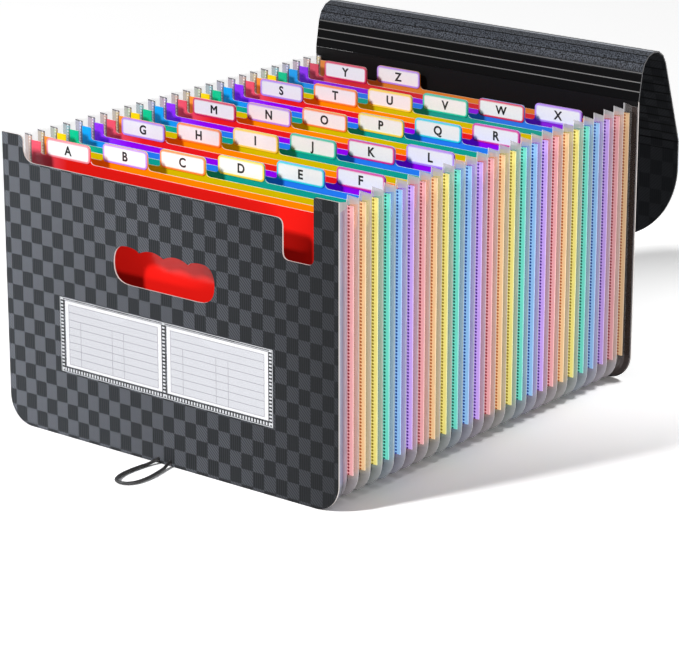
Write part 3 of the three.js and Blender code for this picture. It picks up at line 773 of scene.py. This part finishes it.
def ring_mesh(name, outlines, y_front, y_back):
    """A flat ring with three outlines: strong ink between the outer two, pale ink inside"""
    mesh = bpy.data.meshes.new(name)
    work = bmesh.new()
    outer, middle, inner = outlines
    loops = [[work.verts.new(place(x, y, z)) for x, z in outline]
             for outline, y in ((outer, y_front), (middle, y_front), (inner, y_front), (inner, y_back),
                                (outer, y_back))]
    count = len(outer)
    for ring_number, (here, there) in enumerate(zip(loops, loops[1:] + loops[:1])):
        for i in range(count):
            j = (i + 1) % count
            made = work.faces.new([here[i], here[j], there[j], there[i]])
            made.material_index = 1 if ring_number in (1, 2) else 0
    bmesh.ops.recalc_face_normals(work, faces=work.faces)
    work.to_mesh(mesh)
    work.free()
    return mesh


def printed_film(name, colour, whiteness):
    """Ink on clear film, with painted light that makes it paler towards the top of the tab, where the film is
    lit through
    """
    material, tree, shader = new_material(name, 0.25, 1.49)
    _, _, up = drawing_axes(tree)
    lit_through_top = add_node(tree, "MapRange", {"Value": up, "From Min": TAB_BOTTOM, "From Max": TAB_TOP}).outputs[0]
    strong = paler(linear(colour), 1 - whiteness, whiteness)
    tone = painted_over(tree, strong, [(lit_through_top, paler(strong, 0.88, 0.12))])
    tree.links.new(tone, shader.inputs["Base Color"])
    return material


frame_finishes = {name: (printed_film("printed_film_" + name, colour, 0),
                         printed_film("printed_film_pale_" + name, colour, 0.6))
                  for name, colour in frame_colours.items()}
for i, letter in enumerate(letters):
    left = FIRST_TAB_X + (i % 6) * TAB_STEP
    face_y = FIRST_DIVIDER_Y + i * PITCH - DIVIDER_HALF
    outlines = [rounded_outline(left + inset, left + TAB_WIDTH - inset, TAB_BOTTOM + inset, TAB_TOP - inset,
                                FRAME_CORNER + FRAME_INSET - inset)
                for inset in (FRAME_INSET, FRAME_MIDDLE, FRAME_BAND)]
    ring_name = "tab_frame_" + letter
    ring = bpy.data.objects.new(ring_name, ring_mesh(ring_name, outlines, face_y - FRAME_FRONT,
                                                     face_y - FRAME_BACK))
    bpy.context.scene.collection.objects.link(ring)
    for ink_film in frame_finishes[frame_of_letter[i]]:
        ring.data.materials.append(ink_film)
    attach(ring, "file")
print(len(letters), "printed frames in", len(frame_finishes), "colours")

# %% [markdown]
# The labels are uncoated paper: matt, nearly neutral white, with a fibre grain too fine to see except as a
# faint unevenness. The index letters are plain capitals. Blender's built-in font is light, so the outline
# is grown a little with the curve's offset to get a bold stroke, and a hair of thickness keeps the ink
# above the paper.

# %% Paper labels and index letters
LETTER_SIZE = 10.0
LETTER_WEIGHT = 0.3
LETTER_CENTRE_Z = 222.3
LABEL_FACE = 0.6 + DIVIDER_HALF
INK_FACE = LABEL_FACE + 0.08
INK_HEIGHT = 0.04
# Grains to the metre. Real fibres and mottles are about ten times finer, too fine to show
FIBRES = 700
INK_MOTTLES = 1200


def uncoated_paper(name):
    material, tree, shader = new_material(name, 0.85, 1.5)
    where = add_node(tree, "TexCoord").outputs["Object"]
    fibre = add_node(tree, "TexNoise", {"Vector": where, "Scale": FIBRES, "Detail": 4})
    tone = painted_over(tree, linear("#efeef2"), [(fibre.outputs["Fac"], linear("#fafafa"))])
    tree.links.new(tone, shader.inputs["Base Color"])
    bump = add_node(tree, "Bump", {"Height": fibre.outputs["Fac"], "Strength": 0.1, "Distance": 0.05 * MM})
    tree.links.new(bump.outputs[0], shader.inputs["Normal"])
    return material


def printing_ink():
    """Matt black, a little uneven where the paper's fibres take less of it"""
    material, tree, shader = new_material("black_printing_ink", 0.6, 1.5)
    where = add_node(tree, "TexCoord").outputs["Object"]
    mottle = add_node(tree, "TexNoise", {"Vector": where, "Scale": INK_MOTTLES})
    tone = painted_over(tree, linear("#040405"), [(mottle.outputs["Fac"], linear("#101012"))])
    tree.links.new(tone, shader.inputs["Base Color"])
    return material


def index_letter(character, x, y, z, weight):
    data = bpy.data.curves.new("index_letter_" + character.lower(), "FONT")
    data.body = character
    data.align_x = "CENTER"
    data.align_y = "CENTER"
    data.size = LETTER_SIZE * MM
    data.offset = weight * MM
    data.extrude = INK_HEIGHT * MM
    data.resolution_u = 4
    thing = bpy.data.objects.new(data.name, data)
    thing.location = place(x, y, z)
    thing.rotation_euler = (math.pi / 2, 0, 0)
    bpy.context.scene.collection.objects.link(thing)
    return thing


label_paper = uncoated_paper("uncoated_label_paper")
ink = printing_ink()
for i, letter in enumerate(letters):
    put_on("label_" + letter, label_paper)
    middle = FIRST_TAB_X + (i % 6) * TAB_STEP + TAB_WIDTH / 2
    face_y = FIRST_DIVIDER_Y + i * PITCH - INK_FACE
    # The strokes of M and W meet too steeply to be grown, so two plain letters side by side are bold
    strikes = [(-LETTER_WEIGHT, 0), (LETTER_WEIGHT, 0)] if letter in "mw" else [(0, LETTER_WEIGHT)]
    for shift, weight in strikes:
        mark = index_letter(letter.upper(), middle + shift, face_y, LETTER_CENTRE_Z, weight)
        mark.data.materials.append(ink)
        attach(mark, "file")
print("index letters", letters[0].upper(), "to", letters[-1].upper())

# %% [markdown]
# The gusset is one strip of frosted film, pleated like the bellows of a camera. Seen from the side it is a
# zigzag: it goes in to each divider, where it is welded, and out again between two dividers. Its outer
# folds are hard creases, its panels bulge a little. A thick solid would look like glass plates, so the film
# is built as a single surface through U-shaped sections, and a modifier gives it a real thin wall.

# %% Gusset film
INNER_LEFT = -155.4
INNER_RIGHT = 155
OUTER_LEFT = -164.6
OUTER_RIGHT = 159.8
INNER_BOTTOM = 7.6
OUTER_BOTTOM = 0.7
INNER_RADIUS = 14
OUTER_RADIUS = 21
LEFT_TOP = 229.2
RIGHT_TOP_INNER = 234.3
RIGHT_TOP_OUTER = 231
FILM_WALL = 0.3
HALF_PLEAT_STEPS = 4
PANEL_BULGE = 0.04
LEFT_LEAN = 5.4
FRONT_TOP = 234.7
SIDE_STEPS = 6
CORNER_POINTS = 8
# Where the film's two ends are welded: how far out on both sides, and at which Y behind the front face
END_WELD_X = 164.6
FRONT_WELD_Y = 1.5
BACK_WELD_GAP = 0.5
LAST_FOLD_GAP = 0.8
LAST_FOLD_OUT = 0.95


def film_section(out, left_out, right_out):
    """The U of the film for a fold that is out by 0 (inner) to 1 (outer)"""
    left = INNER_LEFT + (left_out - INNER_LEFT) * out
    right = INNER_RIGHT + (right_out - INNER_RIGHT) * out
    bottom = INNER_BOTTOM + (OUTER_BOTTOM - INNER_BOTTOM) * out
    radius = INNER_RADIUS + (OUTER_RADIUS - INNER_RADIUS) * out
    top_right = RIGHT_TOP_INNER + (RIGHT_TOP_OUTER - RIGHT_TOP_INNER) * out
    points = []
    for i in range(SIDE_STEPS):
        points.append((left, LEFT_TOP + (bottom + radius - LEFT_TOP) * i / SIDE_STEPS))
    for i in range(CORNER_POINTS + 1):
        angle = math.pi * (1 + 0.5 * i / CORNER_POINTS)
        points.append((left + radius + radius * math.cos(angle), bottom + radius + radius * math.sin(angle)))
    for i in range(CORNER_POINTS + 1):
        angle = math.pi * (1.5 + 0.5 * i / CORNER_POINTS)
        points.append((right - radius + radius * math.cos(angle), bottom + radius + radius * math.sin(angle)))
    for i in range(1, SIDE_STEPS + 1):
        points.append((right, bottom + radius + (top_right - bottom - radius) * i / SIDE_STEPS))
    return points


def film_stations():
    """Where the film is along the file: its Y, how far out it is, and how far out it may go on each side"""
    stations = [(FRONT_WELD_Y, 1.0, -END_WELD_X, END_WELD_X)]
    for i in range(DIVIDER_COUNT):
        weld_y = FIRST_DIVIDER_Y + i * PITCH
        for k in range(HALF_PLEAT_STEPS):
            t = k / HALF_PLEAT_STEPS
            bulge = PANEL_BULGE * math.sin(math.pi * t)
            stations.append((weld_y - PITCH / 2 * (1 - t), 1 - t + bulge, OUTER_LEFT, OUTER_RIGHT))
        for k in range(HALF_PLEAT_STEPS):
            t = k / HALF_PLEAT_STEPS
            if i == DIVIDER_COUNT - 1 and k == HALF_PLEAT_STEPS - 1:
                continue
            bulge = PANEL_BULGE * math.sin(math.pi * t)
            stations.append((weld_y + PITCH / 2 * t, t + bulge, OUTER_LEFT, OUTER_RIGHT))
    stations.append((BACK_COVER_Y - LAST_FOLD_GAP, LAST_FOLD_OUT, OUTER_LEFT, OUTER_RIGHT))
    stations.append((BACK_COVER_Y - BACK_WELD_GAP, 1.0, -END_WELD_X, END_WELD_X))
    return stations


def lagging(x, out):
    """How far the outer fold stands forward on the left side, where the pleats lean"""
    share = min(max((WIDTH / 2 - x) / WIDTH, 0), 1)
    return LEFT_LEAN * out * share


def film_mesh():
    mesh = bpy.data.meshes.new("gusset_film")
    work = bmesh.new()
    stations = film_stations()
    rows = []
    for number, (y, out, left, right) in enumerate(stations):
        lean = 0 if number == 0 or y > BACK_COVER_Y - 1 else 1
        section = film_section(out, left, right)
        if number == 0:
            section[-1] = (section[-1][0], FRONT_TOP)
        rows.append([work.verts.new(place(x, y - lean * lagging(x, out), z)) for x, z in section])
    for here, there in zip(rows, rows[1:]):
        for k in range(len(here) - 1):
            work.faces.new([here[k], there[k], there[k + 1], here[k + 1]])
    work.normal_update()
    work.to_mesh(mesh)
    work.free()
    return mesh


gusset = bpy.data.objects.new("pleated_gusset", film_mesh())
bpy.context.scene.collection.objects.link(gusset)
wall = gusset.modifiers.new("film_wall", "SOLIDIFY")
wall.thickness = FILM_WALL * MM
wall.offset = -1
wall.material_offset_rim = 1
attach(gusset, "file")
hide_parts("accordion_gusset")
print("gusset film:", len(gusset.data.polygons), "faces")

# %% [markdown]
# Frosted polypropylene film is milky: part of the light goes straight through, part is scattered. The
# physically right way is a rough transmission shader, but it is noisy through many layers. Mixing clear and
# milky with the shader's alpha gives the same look and renders clean. The film turns milkier where it is
# seen along its surface, so every fold draws a light line. The welding dots are pressed flat and show white
# on the left. The film's colour also carries painted light and shade: painted shade from the pockets behind
# it, the dividers' colour as painted light, a dark line of painted shade along each weld below the coloured
# flanges on the right, and a painted contact shadow at its foot.

# %% Frosted film
FILM_CLEAR_VIEW = 0.05
FILM_EDGE_VIEW = 0.8
FLANGE_FOOT = 22.8
STRIP_TOP = 227
LAST_PANEL_Y = FIRST_DIVIDER_Y + (DIVIDER_COUNT - 1) * PITCH + 1
# Share of painted light: the neighbouring dividers' colour that the milky film picks up
POCKET_LIGHT_SHARE = 0.3
OUTER_FOLD_LINE = 0.22
# Width of the painted shade along each weld on the right
WELD_SHADE_WIDTH = 0.55
FIN_TOP_LINE = 1.1
WELD_FLANGE = 1.6
# Painted contact shadow: the film darkens over its last millimetres above the floor
CONTACT_SHADOW_FADE = (4.0, 1.0)
REAR_PANEL = PITCH / 2 - LEFT_LEAN


def on_rear_panel(tree, deep):
    """1 on the panels of the left side that run out and back from a weld"""
    from_first = add_node(tree, "Math", {0: deep, 1: FIRST_DIVIDER_Y}, operation="SUBTRACT").outputs[0]
    behind_weld = add_node(tree, "Math", {0: from_first, 1: PITCH}, operation="FLOORED_MODULO").outputs[0]
    return add_node(tree, "Math", {0: behind_weld, 1: REAR_PANEL + 0.2}, operation="LESS_THAN").outputs[0]


def painted_pocket_light(tree, deep):
    """Painted light: the mean colour of the two dividers that a pleat lies between, in steps that repeat"""
    count = len(pastel_colours)
    from_first = add_node(tree, "Math", {0: deep, 1: FIRST_DIVIDER_Y}, operation="SUBTRACT").outputs[0]
    turns = add_node(tree, "Math", {0: from_first, 1: count * PITCH}, operation="DIVIDE").outputs[0]
    share = add_node(tree, "Math", {0: turns}, operation="FRACT").outputs[0]
    ramp = add_node(tree, "ValToRGB", {0: share})
    steps = ramp.color_ramp
    steps.interpolation = "CONSTANT"
    for i in range(count):
        stop = steps.elements[i] if i < 2 else steps.elements.new(i / count)
        stop.position = i / count
        front, back = linear(pastel_colours[i]), linear(pastel_colours[(i + 1) % count])
        stop.color = [(a + b) / 2 for a, b in zip(front, back)]
    return ramp.outputs[0]


def film_milk(tree, outward, low, high, right_side, rear_panel):
    """How milky the film is: more along folds, on the right side, low down and above the frosted strips"""
    grazing = add_node(tree, "LayerWeight", {"Blend": 0.5}).outputs["Facing"]
    total = add_node(tree, "MapRange", {"Value": grazing, "To Min": FILM_CLEAR_VIEW,
                                        "To Max": FILM_EDGE_VIEW}).outputs[0]
    folds = add_node(tree, "MapRange", {"Value": outward, "To Min": 0.12, "To Max": 0.42}).outputs[0]
    for haze, share in ((combined(tree, "MULTIPLY", folds, right_side), 1.0), (rear_panel, 0.45), (low, 0.45),
                        (high, 0.2)):
        total = add_node(tree, "Math", {0: haze, 1: share, 2: total}, operation="MULTIPLY_ADD").outputs[0]
    return add_node(tree, "Math", {0: total, 1: 1.0}, operation="MINIMUM").outputs[0]


def frosted_film():
    material, tree, shader = new_material("frosted_polypropylene_film", 0.28, 1.49)
    across, deep, up = drawing_axes(tree)
    from_first = add_node(tree, "Math", {0: deep, 1: FIRST_DIVIDER_Y}, operation="SUBTRACT").outputs[0]
    from_weld = add_node(tree, "Math", {0: from_first, 1: PITCH / 2}, operation="PINGPONG").outputs[0]
    outward = add_node(tree, "Math", {0: from_weld, 1: PITCH / 2}, operation="DIVIDE").outputs[0]
    left_side = add_node(tree, "Math", {0: across, 1: 0}, operation="LESS_THAN").outputs[0]
    right_side = add_node(tree, "Math", {0: across, 1: 0}, operation="GREATER_THAN").outputs[0]
    rear_panel = combined(tree, "MULTIPLY", on_rear_panel(tree, deep), left_side)
    low = add_node(tree, "MapRange", {"Value": up, "From Min": FLANGE_FOOT + 2,
                                      "From Max": FLANGE_FOOT - 4}).outputs[0]
    above_strip = add_node(tree, "MapRange", {"Value": up, "From Min": STRIP_TOP - 0.5,
                                              "From Max": STRIP_TOP}).outputs[0]
    high = combined(tree, "MULTIPLY", above_strip, right_side)
    last = add_node(tree, "Math", {0: deep, 1: LAST_PANEL_Y}, operation="GREATER_THAN").outputs[0]

    dots = dot_row(tree, across, up, LEFT_DOTS_X, LEFT_DOT_STEP, LEFT_DOT_SIZE)
    white_dots = combined(tree, "MULTIPLY", dots, rear_panel)
    # Painted shade: a dark line along each weld on the right, below the coloured flange
    near_weld = add_node(tree, "Math", {0: from_weld, 1: WELD_SHADE_WIDTH}, operation="LESS_THAN").outputs[0]
    weld_shade = combined(tree, "MULTIPLY", near_weld, low, right_side)
    folded = add_node(tree, "Math", {0: from_weld, 1: PITCH / 2 - OUTER_FOLD_LINE},
                      operation="GREATER_THAN").outputs[0]
    fold = combined(tree, "MULTIPLY", folded, right_side)
    at_top = add_node(tree, "Math", {0: up, 1: LEFT_TOP - FIN_TOP_LINE}, operation="GREATER_THAN").outputs[0]
    fin_top = combined(tree, "MULTIPLY", at_top, rear_panel)
    # Painted contact shadow: dark and opaque over the film's last millimetres
    foot = add_node(tree, "MapRange", {"Value": up, "From Min": CONTACT_SHADOW_FADE[0],
                                       "From Max": CONTACT_SHADOW_FADE[1]}).outputs[0]
    milk = film_milk(tree, outward, low, high, right_side, rear_panel)
    alpha = combined(tree, "MAXIMUM", milk, white_dots, weld_shade, fold, fin_top, foot)
    tree.links.new(alpha, shader.inputs["Alpha"])

    # Painted shade: the film is dark in towards the welds, over the shaded pockets behind it, and paler out
    # at the folds
    upper = painted_over(tree, linear("#58535a"), [(outward, linear("#aaa7ad"))])
    lower = painted_over(tree, linear("#58585d"), [(outward, linear("#8c8c92"))])
    # Painted light: the neighbouring dividers' colour on the film, higher up on the right and by the welds on
    # the left
    pocket_light_colour = painted_pocket_light(tree, deep)
    pocket_light_share = add_node(tree, "MapRange", {"Value": low, "To Min": POCKET_LIGHT_SHARE, "To Max": 0.05}).outputs[0]
    by_weld = add_node(tree, "Math", {0: across, 1: LEFT_DOTS_X - WELD_FLANGE},
                       operation="GREATER_THAN").outputs[0]
    flange_share = add_node(tree, "MapRange", {"Value": by_weld, "To Min": 0.2, "To Max": 0.75}).outputs[0]
    colour = painted_over(tree, upper, [
        (low, lower),
        (combined(tree, "MULTIPLY", right_side, pocket_light_share), pocket_light_colour),
        (high, linear("#aeabae")),
        # Painted shade: the dark last pocket behind the last divider
        (last, linear("#3c3432")),
        (rear_panel, linear("#bcbabe")),
        (combined(tree, "MULTIPLY", flange_share, rear_panel), pocket_light_colour),
        (fin_top, linear("#6e6c72")),
        (foot, linear("#2c2c30")),
        (fold, linear("#dcdade")),
        (weld_shade, linear("#1c1c20")),
        (white_dots, linear("#ffffff")),
    ])
    tree.links.new(colour, shader.inputs["Base Color"])
    return material


def film_rim():
    """Cut edge of the film: dark on the leaning fins at the left, pale at the right, clear between fins"""
    material, tree, shader = new_material("cut_edge_of_film", 0.4, 1.49)
    across, deep, _ = drawing_axes(tree)
    right_side = add_node(tree, "Math", {0: across, 1: 0}, operation="GREATER_THAN").outputs[0]
    tone = painted_over(tree, linear("#4c4a50"), [(right_side, linear("#f2f0f2"))])
    tree.links.new(tone, shader.inputs["Base Color"])
    shown = combined(tree, "MAXIMUM", on_rear_panel(tree, deep), right_side)
    alpha = add_node(tree, "MapRange", {"Value": shown, "To Min": 0.08, "To Max": 0.9}).outputs[0]
    tree.links.new(alpha, shader.inputs["Alpha"])
    return material


gusset.data.materials.append(frosted_film())
gusset.data.materials.append(film_rim())
print("film wall", FILM_WALL, "mm")

# %% [markdown]
# The two card pockets are a clear window welded to the cover. Clear film hardly shows except at its welds,
# where a heated wheel leaves a ladder of small raised bars. So the window is almost fully see-through and
# glossy, and the bars are opaque white, drawn only inside the welded borders.

# %% Clear pocket window
POCKET_LEFT = -107.3
POCKET_WIDTH = 106
POCKET_BOTTOM = 54
POCKET_TOP = 114
WELD_BAND = 4.2
# The real bars stand 2.1 mm apart; they are drawn a little coarser so that they stay apart in the picture
BAR_STEP = 2.8
# Half width and depth of the round notch in each pocket's top
THUMB_NOTCH = (17, 11)
BORDER_LINE = 0.45
POCKET_FRONT_Y = -1.1
VEIL = 0.2
WELDED_VEIL = 0.55
MARKS_VEIL = 0.92


def welded_window():
    material, tree, shader = new_material("clear_glossy_window_film", 0.08, 1.49)
    across, deep, up = drawing_axes(tree)
    from_middle = add_node(tree, "Math", {0: across, 1: POCKET_LEFT + POCKET_WIDTH},
                           operation="SUBTRACT").outputs[0]
    away = add_node(tree, "Math", {0: from_middle}, operation="ABSOLUTE").outputs[0]
    from_side = add_node(tree, "Math", {0: POCKET_WIDTH, 1: away}, operation="SUBTRACT").outputs[0]
    from_bottom = add_node(tree, "Math", {0: up, 1: POCKET_BOTTOM}, operation="SUBTRACT").outputs[0]

    bars = []
    for value in (up, across):
        ridge = ridges(tree, value, BAR_STEP)
        bars.append(add_node(tree, "Math", {0: ridge, 1: 0.5}, operation="GREATER_THAN").outputs[0])
    bars_up, bars_along = bars
    first, last = 2 * BORDER_LINE, WELD_BAND - 2 * BORDER_LINE
    rungs = [combined(tree, "MULTIPLY", between(tree, from_side, first, last), bars_up),
             combined(tree, "MULTIPLY", between(tree, away, -1, WELD_BAND / 2 - first), bars_up),
             combined(tree, "MULTIPLY", between(tree, from_bottom, first, last), bars_along)]
    borders = [between(tree, from_side, 0, BORDER_LINE),
               between(tree, from_bottom, 0, BORDER_LINE),
               between(tree, up, POCKET_TOP - BORDER_LINE, POCKET_TOP + 1),
               between(tree, up, POCKET_TOP - 4 * BORDER_LINE, POCKET_TOP - 3 * BORDER_LINE)]
    bands = [between(tree, from_side, 0, WELD_BAND),
             between(tree, away, -1, WELD_BAND / 2),
             between(tree, from_bottom, 0, WELD_BAND)]
    facing_y = facing(tree)[1]
    outer_face = add_node(tree, "Math", {0: facing_y, 1: -HALF_TURNED}, operation="LESS_THAN").outputs[0]
    at_front = add_node(tree, "Math", {0: deep, 1: POCKET_FRONT_Y}, operation="LESS_THAN").outputs[0]
    shown = combined(tree, "MULTIPLY", outer_face, at_front)
    marks = combined(tree, "MULTIPLY", combined(tree, "MAXIMUM", *rungs, *borders), shown)
    welded = combined(tree, "MULTIPLY", combined(tree, "MAXIMUM", *bands), shown)

    from_card = add_node(tree, "Math", {0: away, 1: POCKET_WIDTH / 2}, operation="SUBTRACT").outputs[0]
    from_top = add_node(tree, "Math", {0: up, 1: POCKET_TOP}, operation="SUBTRACT").outputs[0]
    notch_size = (*THUMB_NOTCH, 1)
    offset = add_node(tree, "CombineXYZ", {0: from_card, 1: from_top}).outputs[0]
    round_way = add_node(tree, "VectorMath", {0: offset, 1: notch_size}, operation="DIVIDE").outputs[0]
    notch_distance = add_node(tree, "VectorMath", {0: round_way}, operation="LENGTH").outputs["Value"]
    covered = add_node(tree, "Math", {0: notch_distance, 1: 1}, operation="GREATER_THAN").outputs[0]
    film = add_node(tree, "MapRange", {"Value": welded, "To Min": VEIL, "To Max": WELDED_VEIL}).outputs[0]
    veil = combined(tree, "MULTIPLY", covered, shown, film)
    alpha = add_node(tree, "Mix", {0: marks, 2: veil, 3: MARKS_VEIL}, data_type="FLOAT").outputs[0]
    tree.links.new(alpha, shader.inputs["Alpha"])
    tone = painted_over(tree, linear("#b8b9be"), [(welded, linear("#1a1b1f")), (marks, linear("#d4d6da"))])
    tree.links.new(tone, shader.inputs["Base Color"])
    return material


put_on("card_pocket_film", welded_window())
print("pocket window welded", WELD_BAND, "mm wide")

# %% [markdown]
# Two printed index cards stand in the pockets. The print is a light grey table: eight rows, and three
# uprights that start below the second row. Each line is the same test, the distance to the nearest multiple
# of a step, so the whole form is drawn from its real spacing without an image.

# %% Ruled index cards
CARD_MARGIN = 3.7
CARD_TOP_MARGIN = 2.7
ROW_STEP = 6.0
LINE_WIDTH = 0.5
CARD_FIBRE = 2.0
# Where the uprights stand, as shares of the form's width
uprights = (0.133, 0.49, 0.62)


def ruled_card(name, node_name):
    material, tree, shader = new_material(name, 0.6, 1.5)
    across, _, up = drawing_axes(tree)
    low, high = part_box(node_name)
    left = low[0] / MM + CARD_MARGIN
    right = high[0] / MM - CARD_MARGIN
    top = high[2] / MM - CARD_TOP_MARGIN
    rows = int((top - low[2] / MM) // ROW_STEP)
    bottom = top - rows * ROW_STEP
    half = LINE_WIDTH / 2
    in_form = combined(tree, "MULTIPLY", between(tree, across, left - half, right + half),
                       between(tree, up, bottom - half, top + half))
    from_top = add_node(tree, "Math", {0: top + 1.5 * ROW_STEP, 1: up}, operation="SUBTRACT").outputs[0]
    wrapped = add_node(tree, "Math", {0: from_top, 1: ROW_STEP}, operation="FLOORED_MODULO").outputs[0]
    lines = [between(tree, wrapped, ROW_STEP / 2 - half, ROW_STEP / 2 + half)]
    columns = [(left, top), (right, top)]
    columns += [(left + share * (right - left), top - 2 * ROW_STEP) for share in uprights]
    for x, upper in columns:
        lines.append(combined(tree, "MULTIPLY", between(tree, across, x - half, x + half),
                              between(tree, up, bottom, upper)))
    printed = combined(tree, "MULTIPLY", combined(tree, "MAXIMUM", *lines), in_form)
    fibre = add_node(tree, "TexNoise", {"Vector": add_node(tree, "TexCoord").outputs["Object"],
                                        "Scale": 1 / (CARD_FIBRE * MM)}).outputs["Fac"]
    paper = painted_over(tree, linear("#e0e0e4"), [(fibre, linear("#e9e9ec"))])
    tone = painted_over(tree, paper, [(in_form, linear("#c4c5cb")), (printed, linear("#8a8a90"))])
    tree.links.new(tone, shader.inputs["Base Color"])
    return material


for side in ("left", "right"):
    put_on("index_card_" + side, ruled_card("ruled_index_card_" + side, "index_card_" + side))
print("cards ruled every", ROW_STEP, "mm")

# %% End
print("scene built")
